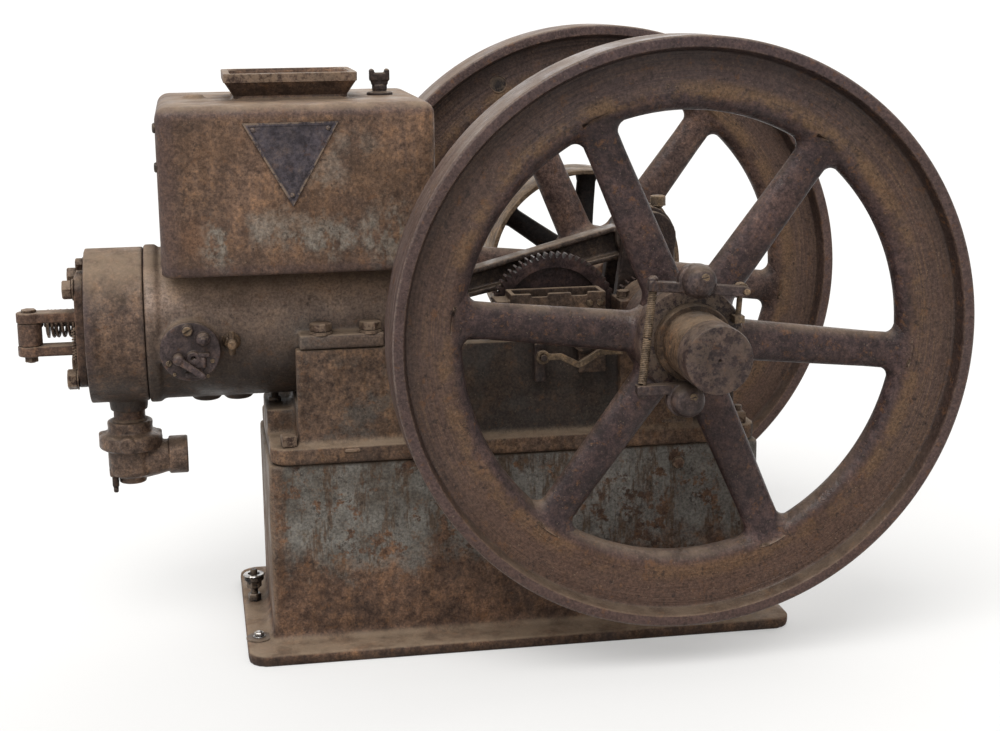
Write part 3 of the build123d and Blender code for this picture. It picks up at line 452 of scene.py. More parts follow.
def old_iron(name, base, seed, mottle, depth, streaks, specks, dust, corner_shade, wear, rough, grain, metal=0.0,
             marks=None):
    """Rusty cast iron: clouded tones, specks, dust on top, painted shade in corners, worn edges."""
    look = Surface(name, seed)
    colour = look.ramp(look.noise(mottle, 6, 0.68), four_tones(*base))
    colour = look.shades(colour, look.noise(mottle * 3.1, 5, 0.7, shift=13), 0.14, depth * 0.85)
    crust = look.noise(85, 3, 0.78, shift=17)
    colour = look.shades(colour, crust, 0.13, depth * 1.3)
    if streaks:
        runs = look.noise(30, 4, 0.66, (1.6, 1.6, 0.1), 3)
        colour = look.shades(colour, runs, 0.15, streaks)
    if marks:
        colour = marks(look, colour)
    fine = look.noise(260, 2, 0.75, shift=21)
    colour = look.shades(colour, fine, 0.14, 0.3, 0.02)
    rusty = look.noise(58, 4, 0.78, shift=7).span(0.56, 0.7)
    colour = look.mix(rusty * specks, colour, ORANGE_RUST)
    darks = look.noise(72, 3, 0.8, shift=11).span(0.59, 0.68)
    colour = look.mix(darks * (specks * 1.1), colour, DARK_SPECK)
    flecks = look.noise(330, 2, 0.7, shift=31).span(0.66, 0.74)
    colour = look.mix(flecks * (specks * 0.8), colour, PALE_FLECK)
    settled = look.upward.span(0.3, 0.9) * look.noise(23, 5, 0.7, shift=5).span(0.34, 0.6, 0.4, 1.0)
    colour = look.mix(settled * dust, colour, DUST)
    edge = look.value("ShaderNodeNewGeometry", output="Pointiness")
    worn = edge.span(0.52, 0.6) * crust.span(0.4, 0.56)
    colour = look.mix(worn * wear, colour, WORN_EDGE)
    # Painted shade: corners and creases darken where ambient occlusion finds them
    shade = look.value("ShaderNodeAmbientOcclusion", (1, SHADE_REACH), output="AO", samples=2)
    colour = look.mix(shade.span(0.3, 0.9, 1.0, 0.0) * corner_shade, colour, CORNER_SHADE)
    rougher = look.noise(mottle * 2.0, 5, 0.7, shift=19).span(0.36, 0.62, *rough) + settled * (0.2 * dust)
    height = look.noise(48, 4, 0.64, shift=2) * 0.8 + crust * 0.7 + fine * 0.25
    height = height - look.pits(150, 0.1, 0.26) * 0.22
    if look.more_height:
        height = height + look.more_height * 0.7
    return look.finish(colour, rougher, height, grain, metal)


def hopper_marks(look, colour):
    """Pale worn paint low on the hopper, rust drips, a purple corner, painted shade along its lower edge, a
    painted sheen on its top edge, and a barrel dark with oil and painted shade below, painted light above.
    """
    side = look.y.span(-0.15, -0.16)
    ragged = look.noise(30, 4, 0.78, (1, 1, 0.6))
    paint = look.ramp(ragged, [(0.38, (0.125, 0.098, 0.078)), (0.5, (0.205, 0.182, 0.152)),
                               (0.6, (0.30, 0.275, 0.235))])
    holes = ragged.span(0.40, 0.50)
    for place, depth in (((-419, 603, 26, 40), 0.8), ((-345, 622, 40, 30), 0.55),
                         ((-275, 612, 50, 34), 0.7), ((-188, 606, 38, 52), 0.65),
                         ((-267, 700, 30, 34), 0.35), ((-230, 735, 40, 22), 0.25)):
        colour = look.mix(look.spot(*place, 0.6) * side * holes * depth, colour, paint)
    for place, depth, tone in (((-453, 612, 24, 36), 0.5, (0.165, 0.085, 0.048)),
                               ((-430, 735, 60, 30), 0.35, (0.16, 0.092, 0.055)),
                               ((-300, 640, 70, 26), 0.3, (0.155, 0.085, 0.048)),
                               ((-350, 578, 90, 14), 0.35, (0.07, 0.045, 0.034)),
                               ((-200, 690, 40, 60), 0.3, (0.165, 0.098, 0.058))):
        colour = look.mix(look.spot(*place) * side * depth, colour, tone)
    corner = look.x.span(-0.458, -0.486) * look.z.span(0.556, 0.562)
    colour = look.mix(corner * 0.75, colour, (0.074, 0.048, 0.044))
    # Painted shade: a dark band along the hopper's lower edge, where the fillet to the barrel lies in shadow
    lower_edge_shade = look.z.band(0.552, 0.558, 0.566, 0.576) * side
    colour = look.mix(lower_edge_shade * 0.6, colour, (0.066, 0.043, 0.040))
    # Painted sheen: a purple tint along the rounded top edge, where the light catches it
    top_edge_sheen = look.z.band(0.768, 0.778, 0.786, 0.792)
    colour = look.mix(top_edge_sheen * 0.5, colour, (0.095, 0.062, 0.058))
    # The barrel under the hopper: darker low down with oil and painted shade, lighter high up with painted
    # light
    rise = look.z.span(0.352, 0.545)
    barrel = look.ramp(rise, [(0.0, (0.026, 0.022, 0.020)), (0.3, (0.048, 0.040, 0.036)),
                              (0.55, (0.110, 0.080, 0.064)), (0.8, (0.200, 0.146, 0.115)),
                              (0.93, (0.30, 0.22, 0.175)), (1.0, (0.28, 0.205, 0.16))])
    grime = look.noise(15, 5, 0.74, shift=23)
    barrel = look.shades(barrel, grime, 0.14, 0.32)
    pale = look.spot(-300, 470, 40, 30) * grime.span(0.42, 0.56)
    barrel = look.mix(pale * 0.6, barrel, (0.10, 0.095, 0.088))
    below = look.z.span(0.562, 0.552) * look.y.span(-0.152, -0.136)
    return look.mix(below * 0.85, colour, barrel)


def base_marks(look, colour):
    """Worn grey paint over the upper part of the sub-base, paler to the right as painted light, bare rust
    below.
    """
    ragged = look.noise(15, 5, 0.76, (1, 1, 0.8), 4)
    painted = (look.z + (ragged - 0.5) * 0.2).span(0.098, 0.158)
    paint = look.ramp(look.noise(12, 5, 0.76, shift=9),
                      [(0.34, (0.062, 0.050, 0.040)), (0.44, (0.108, 0.098, 0.084)),
                       (0.54, (0.160, 0.150, 0.133)), (0.62, (0.205, 0.196, 0.176)),
                       (0.72, (0.120, 0.088, 0.058))])
    # Painted light: the paint turns paler towards the right, against the flywheel's shadow there
    paint = look.mix(look.x.span(-0.15, 0.0) * 0.4, paint, (0.215, 0.205, 0.19))
    drips = look.noise(40, 4, 0.8, (1, 1, 0.22), 6).span(0.5, 0.62)
    paint = look.mix(drips * 0.8, paint, (0.082, 0.052, 0.033))
    worn = look.noise(26, 4, 0.8, shift=1).span(0.62, 0.54)
    edge = (look.x + 0.352).maths("ABSOLUTE").span(0.004, 0.016, 0.3, 0.92)
    colour = look.mix(painted * worn * edge, colour, paint)
    box_edge = look.x.span(-0.354, -0.360) * look.z.span(0.03, 0.05)
    return look.mix(box_edge * 0.55, colour, (0.175, 0.120, 0.082))


def bed_marks(look, colour):
    """Traces of grey paint on the walls, black oil and painted shade from the flywheel under the crank, tan
    grime on the flange.
    """
    patchy = look.noise(14, 5, 0.74, shift=3).span(0.46, 0.6)
    wall = look.z.band(0.308, 0.316, 0.41, 0.45)
    colour = look.mix(patchy * (wall * 0.6), colour, (0.088, 0.082, 0.073))
    # Black oil and painted shade from the flywheel on the near wall under the crank
    oil_and_wheel_shade = look.x.span(-0.13, -0.04) * look.y.span(-0.143, -0.139)
    oil_and_wheel_shade = oil_and_wheel_shade * look.noise(9, 6, 0.7, shift=27).span(0.3, 0.5, 0.8, 1.0)
    colour = look.mix(oil_and_wheel_shade * 0.82, colour, (0.036, 0.029, 0.025))
    lip = look.z.band(0.300, 0.305, 0.308, 0.316)
    return look.mix(lip * 0.5, colour, (0.20, 0.145, 0.098))


def head_marks(look, colour):
    """A purple front edge, a darker joint and an underside darkened by oil and painted shade."""
    grime = look.noise(20, 5, 0.76, shift=23)
    edge = look.x.span(-0.590, -0.606) * grime.span(0.66, 0.46, 0.3, 1.0)
    colour = look.mix(edge * 0.8, colour, (0.075, 0.052, 0.050))
    # Darker low on the drum: oil, and painted shade on the underside
    low = look.z.span(0.445, 0.37) * grime.span(0.66, 0.46, 0.35, 1.0)
    colour = look.mix(low * 0.85, colour, (0.048, 0.039, 0.034))
    seam = look.x.band(-0.535, -0.524, -0.512, -0.500)
    return look.mix(seam * 0.4, colour, (0.085, 0.070, 0.062))


def wheel_marks(look, colour):
    """Turned grooves on the machined ring, tan wear, an orange inner band, the lip's own tone, painted shade
    in the lip's inner shoulder, a painted glint on its outer edge, rusty low part.
    """
    radius, across, above, wound = look.polar()
    machined = radius.band(0.329, 0.333, 0.384, 0.388)
    tracks = look.noise(52, 4, 0.72, (1.25, 1.0, 1.0), place=wound)
    broad = look.noise(5, 6, 0.66, shift=8)
    aside = across.maths("ABSOLUTE").span(0.15, 0.33)
    colour = look.mix(machined * 0.65, colour, (0.082, 0.056, 0.050))
    colour = look.mix(machined * tracks.span(0.48, 0.34), colour, (0.044, 0.029, 0.027))
    tan = tracks.span(0.48, 0.62) * broad.span(0.38, 0.62, 0.25, 1.0) * aside.span(0.0, 1.0, 0.3, 1.0)
    colour = look.mix(tan * machined * 0.55, colour, (0.200, 0.122, 0.068))
    look.more_height = machined * tracks
    inner = radius.band(0.318, 0.330, 0.336, 0.352) * look.noise(14, 5, 0.76, shift=29).span(0.4, 0.56)
    colour = look.mix(inner * 0.6, colour, (0.190, 0.112, 0.056))
    rim = radius.span(0.31, 0.33)
    colour = look.mix(above.span(-0.12, -0.34) * rim * 0.5, colour, (0.120, 0.062, 0.036))
    colour = look.mix(aside * rim * 0.35, colour, (0.120, 0.068, 0.044))
    colour = look.mix(radius.span(0.3905, 0.393) * 0.5, colour, (0.082, 0.056, 0.056))
    # Painted shade: a dark line in the shoulder at the lip's inner edge
    shoulder_shade = radius.band(0.383, 0.386, 0.389, 0.3915)
    colour = look.mix(shoulder_shade * 0.6, colour, (0.020, 0.014, 0.013))
    # Painted glint: a light line along the lip's outer edge
    lip_glint = radius.span(0.4025, 0.405) * tracks.span(0.45, 0.56)
    return look.mix(lip_glint * 0.45, colour, (0.21, 0.165, 0.145))


# For each material: its colour, seed, size and depth of mottling, streaks, specks, dust, painted corner
# shade, wear, roughness, relief, metal and own marks
IRONS = {
    "hopper_iron": ((0.142, 0.089, 0.060), 1.3, 7, 0.24, 0.22, 0.45, 0.7, 0.6, 0.5, (0.36, 0.68), 0.6,
                    0, hopper_marks),
    "base_iron": ((0.100, 0.060, 0.040), 2.1, 9, 0.3, 0.16, 0.55, 0.75, 0.7, 0.3, (0.45, 0.8), 0.8,
                  0, base_marks),
    "bed_iron": ((0.112, 0.072, 0.049), 3.4, 9, 0.3, 0.15, 0.5, 0.8, 0.8, 0.4, (0.42, 0.78), 0.8,
                 0, bed_marks),
    "head_iron": ((0.122, 0.080, 0.057), 4.2, 8, 0.32, 0.3, 0.5, 0.7, 0.75, 0.5, (0.4, 0.72), 0.7,
                  0, head_marks),
    "near_wheel_iron": ((0.052, 0.033, 0.031), 6.1, 6, 0.32, 0, 0.6, 0.4, 0.75, 0.9, (0.28, 0.55), 1.0,
                        0, wheel_marks),
    "far_wheel_iron": ((0.086, 0.055, 0.045), 7.9, 6, 0.32, 0, 0.55, 0.45, 0.75, 0.7, (0.36, 0.64), 1.0,
                       0, wheel_marks),
    "brown_iron": ((0.098, 0.060, 0.042), 5.5, 14, 0.3, 0, 0.45, 0.6, 0.8, 0.7, (0.38, 0.7), 0.7),
    "stub_iron": ((0.050, 0.034, 0.031), 8.4, 13, 0.26, 0, 0.3, 0.25, 0.7, 0.6, (0.34, 0.62), 0.6),
    "dark_iron": ((0.040, 0.028, 0.024), 9.3, 12, 0.3, 0, 0.35, 0.55, 0.7, 0.6, (0.32, 0.62), 0.6),
    "gear_iron": ((0.056, 0.036, 0.034), 17.2, 18, 0.3, 0, 0.3, 0.15, 0.9, 0, (0.3, 0.55), 0.5),
    "oily_steel": ((0.080, 0.060, 0.049), 10.2, 15, 0.28, 0, 0.35, 0.5, 0.8, 0.9, (0.28, 0.58), 0.45, 0.25),
    "tan_steel": ((0.165, 0.118, 0.074), 11.7, 24, 0.26, 0, 0.4, 0.5, 0.8, 0.6, (0.38, 0.66), 0.5, 0.1),
    "old_brass": ((0.110, 0.073, 0.045), 12.6, 20, 0.3, 0, 0.35, 0.5, 0.8, 0.7, (0.34, 0.62), 0.5, 0.2),
    "slate_metal": ((0.066, 0.056, 0.062), 13.8, 16, 0.22, 0, 0.25, 0.1, 0.4, 0.8, (0.34, 0.56), 0.35, 0.2),
    "black_steel": ((0.018, 0.017, 0.018), 14.5, 30, 0.25, 0, 0.1, 0.15, 0.5, 0.5, (0.28, 0.5), 0.3, 0.3),
    "zinc_steel": ((0.42, 0.42, 0.41), 15.5, 60, 0.15, 0, 0.05, 0, 0.7, 0.2, (0.22, 0.42), 0.2, 0.85),
    "neck_iron": ((0.120, 0.078, 0.056), 18.4, 10, 0.28, 0.1, 0.5, 0.75, 0.7, 0.9, (0.34, 0.66), 0.7),
    "barrel_root_iron": ((0.086, 0.054, 0.033), 19.3, 16, 0.34, 0, 0.55, 0.5, 0.75, 0.5, (0.42, 0.7), 0.9),
    "tan_iron": ((0.185, 0.130, 0.082), 20.1, 10, 0.3, 0, 0.4, 0.3, 0.7, 0.5, (0.4, 0.7), 0.6),
    "spoke_iron": ((0.022, 0.018, 0.017), 21.6, 10, 0.25, 0, 0.2, 0.2, 0.6, 0.5, (0.4, 0.7), 0.5),
    "plate_iron": ((0.072, 0.052, 0.049), 22.4, 14, 0.3, 0, 0.4, 0.4, 0.8, 0.8, (0.34, 0.6), 0.5),
    "weight_iron": ((0.062, 0.045, 0.041), 23.1, 14, 0.3, 0, 0.35, 0.35, 0.7, 1, (0.28, 0.52), 0.5, 0.15),
    "mixer_metal": ((0.128, 0.086, 0.062), 24.7, 12, 0.32, 0, 0.35, 0.35, 0.8, 1, (0.28, 0.56), 0.5, 0.2),
    "tray_iron": ((0.090, 0.062, 0.045), 25.2, 14, 0.32, 0, 0.45, 1, 0.9, 1, (0.4, 0.7), 0.6),
}
MATERIALS = {name: old_iron(name, *row) for name, row in IRONS.items()}


# Castings that take a soft skin over their CAD shape

def cove(start, end, out, up, size):
    """A concave fillet from one point to another in a corner; out and up leave the corner."""
    shape = Shape()
    start = Vector(start)
    end = Vector(end)
    out = Vector(out)
    up = Vector(up)
    sunk = -2
    outline = [(sunk, sunk), (size, sunk)]
    outline += [(size * (1 - sin(turn)), size * (1 - cos(turn)))
                for turn in (pi / 2 * step / 6 for step in range(7))]
    outline += [(sunk, size)]
    shape.rings([[point + out * u + up * v for u, v in outline] for point in (start, end)])
    return shape


def joined(*shapes):
    whole = Shape()
    for shape in shapes:
        whole.add(shape.points, shape.faces)
    return whole


def castings():
    """Each row: piece, node, voxel, softening, share of faces kept, slot (not used), material and coves to
    add.
    """
    bed_coves = [cove((-317, 136 * side, BED_TOP), (326, 136 * side, BED_TOP), (0, side, 0), UP, 11)
                 for side in (-1, 1)]
    bed_coves.append(cove((-317, -136, BED_TOP), (-317, 136, BED_TOP), LEFT, UP, 11))
    base_coves = [cove((-354, 145 * side, FOOT_TOP), (354, 145 * side, FOOT_TOP), (0, side, 0), UP, 13)
                  for side in (-1, 1)]
    base_coves += [cove((362 * side, -137, FOOT_TOP), (362 * side, 137, FOOT_TOP), (side, 0, 0), UP, 13)
                   for side in (-1, 1)]
    skins = [
        ("sub_base_casting", "sub_base", 4.0, 5, 0.3, "worn_paint_on_iron", "base_iron", joined(*base_coves)),
        ("engine_bed_casting", "engine_bed", 3.4, 5, 0.25, "worn_paint_on_iron", "bed_iron",
         joined(*bed_coves)),
        ("cylinder_casting", "cylinder_hopper", 3.2, 5, 0.22, "worn_paint_on_iron", "hopper_iron"),
        ("cylinder_head_casting", "cylinder_head", 2.0, 3, 0.3, "rusty_iron", "head_iron"),
        ("valve_plate_casting", "valve_plate", 1.7, 4, 0.4, "rusty_iron", "brown_iron"),
        ("magneto_tray_casting", "magneto_bracket", 1.4, 3, 0.35, "worn_paint_on_iron", "tray_iron"),
        ("latch_fork_forging", "latch_fork", 1.2, 4, 0.4, "dull_steel", "dark_iron"),
        ("rod_forging", "connecting_rod", 1.8, 4, 0.4, "dull_steel", "oily_steel"),
        ("rod_cap_forging", "rod_cap", 1.6, 4, 0.4, "dull_steel", "oily_steel"),
        ("bearing_cap_near_casting", "bearing_cap_near", 1.8, 5, 0.4, "rusty_iron", "brown_iron"),
        ("bearing_cap_far_casting", "bearing_cap_far", 1.8, 5, 0.4, "rusty_iron", "brown_iron"),
    ]
    for row in skins:
        cast_skin(*row)
    cast_skin("rocker_forging", "rocker_arm", 1.2, 4, 0.4, "rusty_iron", "brown_iron", body="rocker_body")
    cast_skin("latch_lever_forging", "latch_lever", 1.0, 4, 0.5, "dull_steel", "tan_steel", body="latch_body")
    for side in ("near", "far"):
        cast_skin("crank_web_" + side, "crankshaft_" + side, 2.4, 5, 0.4, "dull_steel", "dark_iron",
                  body="crank_assembly")


def rounded_ring(middle_x, z, length, width, radius):
    """A level rounded rectangle, 6 points to a corner."""
    ring = []
    for quarter, (side_x, side_y) in enumerate(((1, 1), (-1, 1), (-1, -1), (1, -1))):
        corner = (middle_x + side_x * (length / 2 - radius), side_y * (width / 2 - radius))
        ring += [(x, y, z) for x, y in arc(corner, radius, 90 * quarter, 90 * quarter + 90, 5)]
    return ring


def filler_neck():
    """The hopper's flared mouth with its sharp-edged lip, over the softer casting."""
    shape = Shape()
    middle = -307
    outer = [(786, 0, 10), (795, 1.2, 8), (813.4, 24.6, 7), (814, 27.4, 7), (825, 27.8, 7), (826.2, 26.4, 7)]
    inner = [(826.2, 9.0, 6), (824.8, 8.0, 6), (814, 7.4, 6), (797, -16.6, 6), (786, -18.4, 6)]
    shape.rings([rounded_ring(middle, z, 159 + grow, 125 + grow, radius)
                 for z, grow, radius in outer + inner], True)
    shaped("hopper_neck", shape, "neck_iron", (), 28)


# Flywheels

# The rim's inner belly: its radius from the shaft, and its own rounding
BELLY = 307
BELLY_RADIUS = 21.66
HUB_RADIUS = 74
SPOKES = 6


def spoke_axes(angle):
    """The directions along a spoke and across it."""
    return Vector((cos(angle), 0, sin(angle))), Vector((-sin(angle), 0, cos(angle)))


def rim_profile():
    """The rim's closed section as (radius, distance from its middle plane)."""
    half = 44.5
    floor = 21.5
    side = arc((BELLY + BELLY_RADIUS, 0), BELLY_RADIUS, 180, 96, 14)[1:]
    side += [(329, floor + 0.4), (331, floor), (356, floor), (382, floor)]
    side += [(384.6, floor + 0.9), (386, floor + 2.6), (389.2, half - 4.4), (390.2, half - 1.6),
             (391.6, half - 0.2), (394, half), (402.6, half)]
    side += [(404.8, half - 0.6), (406.1, half - 2), (WHEEL_RADIUS, half - 4), (WHEEL_RADIUS, half / 2)]
    lower = [(radius, -distance) for radius, distance in side]
    return [(BELLY, 0)] + side + [(WHEEL_RADIUS, 0)] + lower[::-1]


def wheel_spoke(shape, middle, angle):
    """An oval spoke whose ends flare to follow the hub and the rim's belly."""
    along, across = spoke_axes(angle)
    centre = Vector((SHAFT_X, middle, SHAFT_Z))
    hub_fillet = 15
    rim_fillet = 17
    flares = [-2.0, 0.4, 1.6, 3.4, 6.0, 9.0, 12.5]
    stations = [("hub", gap) for gap in flares] + [("run", share / 9) for share in range(1, 9)]
    stations += [("rim", gap) for gap in reversed(flares)]
    rings = []
    for kind, amount in stations:
        share = amount if kind == "run" else float(kind == "rim")
        fillet = hub_fillet if kind == "hub" else rim_fillet
        gap = 0 if kind == "run" else max(amount, 0)
        grow = 0 if kind == "run" else fillet - sqrt(fillet ** 2 - max(fillet - gap, 0) ** 2)
        half_wide = 28.5 - 3.5 * share + grow
        half_deep = 19 - 4 * share + grow * 0.55
        ring = []
        for index in range(40):
            turn = FULL * index / 40
            wide = half_wide * cos(turn)
            deep = half_deep * sin(turn)
            start = sqrt(HUB_RADIUS ** 2 - min(abs(wide), HUB_RADIUS - 8) ** 2)
            dip = sqrt(BELLY_RADIUS ** 2 - min(abs(deep), BELLY_RADIUS - 0.5) ** 2)
            end = sqrt((BELLY + BELLY_RADIUS - dip) ** 2 - wide ** 2)
            if kind == "hub":
                radial = start + amount
            elif kind == "rim":
                radial = end - amount
            else:
                low = start + 15
                radial = low + (end - 15 - low) * share
            ring.append(centre + along * radial + across * wide + Vector((0, deep, 0)))
        rings.append(ring)
    shape.rings(rings)


def hub_profile(low, high):
    radius = HUB_RADIUS
    bore = 31
    return [(bore, low), (radius - 5, low), (radius - 1.6, low + 1.4), (radius, low + 5), (radius, high - 5),
            (radius - 1.6, high - 1.4), (radius - 5, high), (bore, high)]


def flywheel(name, node, middle, low, high, material):
    shape = Shape()
    shape.turned((SHAFT_X, middle, SHAFT_Z), FAR, rim_profile(), 240, True)
    shape.turned((SHAFT_X, middle, SHAFT_Z), FAR, hub_profile(low, high), 96, True)
    for index in range(SPOKES):
        wheel_spoke(shape, middle, radians(-6.7) + FULL * index / SPOKES)
    shaped(name, shape, material, (node,), 40, body="crank_assembly")


def flywheels():
    flywheel("flywheel_near_casting", "flywheel_near", NEAR_MID, -44, 58, "near_wheel_iron")
    flywheel("flywheel_far_casting", "flywheel_far", FAR_MID, -58, 44, "far_wheel_iron")
    turn = radians(117)
    out = 353
    hole = (SHAFT_X + out * cos(turn), FAR_MID - 21.5, SHAFT_Z + out * sin(turn))
    edge = Shape()
    edge.turned(hole, NEAR, [(12, -1), (14.4, -1), (14.4, 0.6), (13.4, 1.1), (12.2, 0.7), (12, 0)], 40, True)
    shaped("balance_hole_edge", edge, "far_wheel_iron", (), 35, body="crank_assembly")
    # A dark disc in the balance hole: painted shade standing in for its depth
    hole_shade_disc = Shape()
    hole_shade_disc.turned(hole, NEAR, [(13, -1), (13, 0.15), (3, 0.2)], 40)
    shaped("balance_hole", hole_shade_disc, "spoke_iron", (), 35, body="crank_assembly")


def stub():
    """The stepped barrel in front of the near hub, rusty at its root, dark at its end."""
    face = -327
    end = -457
    root = Shape()
    root.turned((SHAFT_X, 0, SHAFT_Z), FAR,
                [(30, face), (51, face), (53, face - 2), (53, face - 14), (51, face - 17),
                 (45.5, face - 17.5), (45, face - 19), (45, face - 86.6), (44.4, face - 87),
                 (40, face - 87)], 96)
    shaped("hub_barrel_root", root, "barrel_root_iron", ("hub_barrel",), body="crank_assembly")
    tip = Shape()
    tip.turned((SHAFT_X, 0, SHAFT_Z), FAR,
               [(40, face - 87), (44.4, face - 87), (45, face - 87.6), (45, end + 3), (44.2, end + 0.9),
                (42.4, end), (2.6, end), (0.8, end + 3)], 96)
    shaped("hub_barrel_end", tip, "stub_iron", body="crank_assembly")


def pulley():
    near = 320
    far = 426
    rim = [(157, near + 1.5), (158.5, near), (163.5, near), (164.4, near + 1.2), (165, (near + far) / 2),
           (164.4, far - 1.2), (163.5, far), (158.5, far), (157, far - 1.5), (155.5, (near + far) / 2)]
    shape = Shape()
    shape.turned((SHAFT_X, 0, SHAFT_Z), FAR, rim, 144, True)
    shaped("belt_pulley_rim", shape, "tan_iron", (), 40, body="crank_assembly")
    shape = Shape()
    hub = [(31, near), (45, near), (48, near + 4), (48, far - 4), (45, far), (31, far)]
    shape.turned((SHAFT_X, 0, SHAFT_Z), FAR, hub, 64, True)
    middle = (near + far) / 2
    stations = ((44, 8), (49, 3.5), (56, 0.6), (70, 0), (100, -1), (140, -1.5), (150, 1.5), (155, 6),
                (158, 9))
    for index in range(SPOKES):
        along, across = spoke_axes(radians(25) + FULL * index / SPOKES)
        shape.rings([circle(Vector((SHAFT_X, middle, SHAFT_Z)) + along * radial, across * (18 + grow),
                            Vector((0, 11 + grow * 0.6, 0)), 1, 28) for radial, grow in stations])
    shaped("belt_pulley_casting", shape, "spoke_iron", ("belt_pulley",), 40,
           body="crank_assembly")


# Bolts and small fittings on the frame

def bolts():
    shape = Shape()
    for y in (-58, 58):
        shape.hex_bolt((PLATE_FACE, y, 529.6), LEFT, 26, 15.5, 0.2)
        shape.hex_bolt((PLATE_FACE, y, 400.5), LEFT, 26, 15.5, 0.5)
    shape.hex_bolt((HEAD_FACE, -12, 558.5), LEFT, 17, 12, 0.1)
    for y in (-123, 123):
        for x in (-280, -210):
            shape.turned((x, y, LUG_TOP - 1), UP, [(17, 0), (17, 2.4), (16, 3)], 36)
            shape.hex_bolt((x, y, LUG_TOP + 1.5), UP, 27, 14, 0.35)
    for y in (-121, 121):
        for x in (SHAFT_X - 44, SHAFT_X + 44):
            shape.hex_bolt((x, y, 497), UP, 17, 11, 0.15)
    shaped("hex_bolts", shape, "brown_iron")

    square = Shape()
    for x in (-331.5, 331.5):
        for y in (-132, 132):
            square.prism((x, y, BED_TOP), UP, 14.2, 0, 17, 4, 1.6, pi / 4 + 0.1)
    shaped("square_bolts", square, "brown_iron")

    screw = (-384, -126, FOOT_TOP)
    washer = Shape()
    washer.turned(screw, UP, [(19, -1), (19, 1.4), (18, 2.2), (8, 2.2)], 40)
    shaped("foot_plate_washer", washer, "dark_iron")
    foot = Shape()
    foot.turned(screw, UP, [(9, 1.8), (9, 3.4), (8.6, 3.8)], 36)
    foot.prism(screw, UP, 7.4, 3.6, 9, 6, 0.8, 0.3)
    foot.turned(screw, UP, [(4.6, 8.6), (4.2, 10.2), (2, 11)], 24)
    shaped("foot_screw", foot, "zinc_steel")

    stud = (-384, 38, FOOT_TOP)
    nuts = Shape()
    nuts.turned(stud, UP, [(5.5, -2), (5.5, 49), (4, 50.4)], 24)
    nuts.prism(stud, UP, 10.5, -0.5, 12, 6, 1.4, 0.2)
    nuts.prism(stud, UP, 11.5, 21, 33, 6, 1.4, 0.7)
    nuts.turned(stud, UP, [(14, 33), (15, 34), (15, 39), (12, 41)], 36)
    shaped("foot_nuts", nuts, "black_steel")
    ring = Shape()
    ring.turned((-384, 38, FOOT_TOP + 40), UP, [(9.5, 0), (15, 0), (16.5, 1.4), (15, 3.2), (9.5, 3.2),
                                                (8.6, 1.6)], 36, True)
    shaped("foot_washer", ring, "zinc_steel")

    bits = Shape()
    bits.hex_bolt((238, -145, 251), NEAR, 16, 6, 0.2)
    bits.hex_bolt((334, -126, BED_TOP), UP, 18, 16, 0.3)
    bits.turned((334, -126, BED_TOP), UP, [(6, 15), (6, 24), (4.6, 25)], 24)
    shaped("bed_small_bolts", bits, "brown_iron")
    nubs = Shape()
    for z in (760, 707):
        nubs.turned((-495, -146, z), LEFT, [(7, -2), (7, 2.4), (5.6, 4), (2, 4.4)], 24)
    shaped("hopper_nubs", nubs, "black_steel", (), 40)
    mark = Shape()
    mark.block((-253, -151.6, 295), (-231, -148, 300.5), 1.2)
    shaped("casting_mark", mark, "brown_iron")


def igniter():
    x = -463
    z = 447
    shape = Shape()
    shape.turned((x, 0, z), NEAR, [(36, 118), (42, 118), (42, 127.4), (41.2, 128.6), (39, 129),
                                   (4, 129.2)], 72)
    shape.turned((x - 3, 0, z + 30.5), NEAR, [(8.6, 128), (8.2, 133), (7.4, 134)], 28)
    electrode = (x + 18.4, 0, z + 18)
    shape.turned(electrode, NEAR, [(10, 128), (10, 137), (8.6, 139)], 32)
    shape.prism(electrode, NEAR, 8, 138, 144.5, 6, 1.2, 0.4)
    shape.turned(electrode, NEAR, [(4.4, 144), (4.2, 148), (3, 149)], 20)
    shape.turned((x + 4, 0, z - 9), NEAR, [(10.4, 128), (10, 134.8), (8.8, 136.4), (4, 136.4), (3, 131)], 32)
    shape.block((x + 1, -135.8, z - 24), (x + 21, -128, z - 8), 2)
    shape.block((x + 10, -135.4, z - 8), (x + 27, -129.5, z - 1), 1.6)
    shape.block((x - 8, -135, z - 36), (x + 16, -128, z - 28), 1.6)
    shape.block((x + 8, -134, z - 30), (x + 16, -128, z - 22), 1.4)
    fused("igniter_plate_casting", shape, 0.8, 2, 0.4, "plate_iron", ("igniter_plate",))
    screws = Shape()
    screws.slotted_screw((x - 3, -133.8, z + 30.5), NEAR, 6.6, 3, 0.5)
    for at_x, at_z, radius, turn in ((-30, -15, 4.2, 1.2), (-23, -31, 2.6, 0.3), (23, -35, 2.6, 0.8),
                                     (30, -14, 3, 0.1)):
        screws.slotted_screw((x + at_x, -129, z + at_z), NEAR, radius, 2.4, turn)
    shaped("igniter_screws", screws, "tan_steel")
    cock = Shape()
    depth = sqrt(BARREL_RADIUS ** 2 - 10 ** 2)
    at = (-405, 0, 456)
    cock.turned(at, NEAR, [(13, depth - 4), (13, depth + 3), (10.4, depth + 5.4)], 32)
    cock.turned((-418, 0, 457), NEAR, [(8, depth - 5), (8, depth - 0.5), (6.4, depth + 1)], 24)
    cock.prism(at, NEAR, 10.8, depth + 4, depth + 14, 6, 1.4, 0.3)
    cock.turned(at, NEAR, [(7, depth + 13), (7, depth + 31), (5.4, depth + 33.4), (2, depth + 34)], 28)
    cock.tube([(-405, -depth - 20, height) for height in (440, 446, 456, 467, 474)],
              [4.4, 5.0, 5.6, 5.0, 4.0], 20)
    fused("priming_cock_brass", cock, 0.8, 2, 0.4, "old_brass", ("priming_cock",))


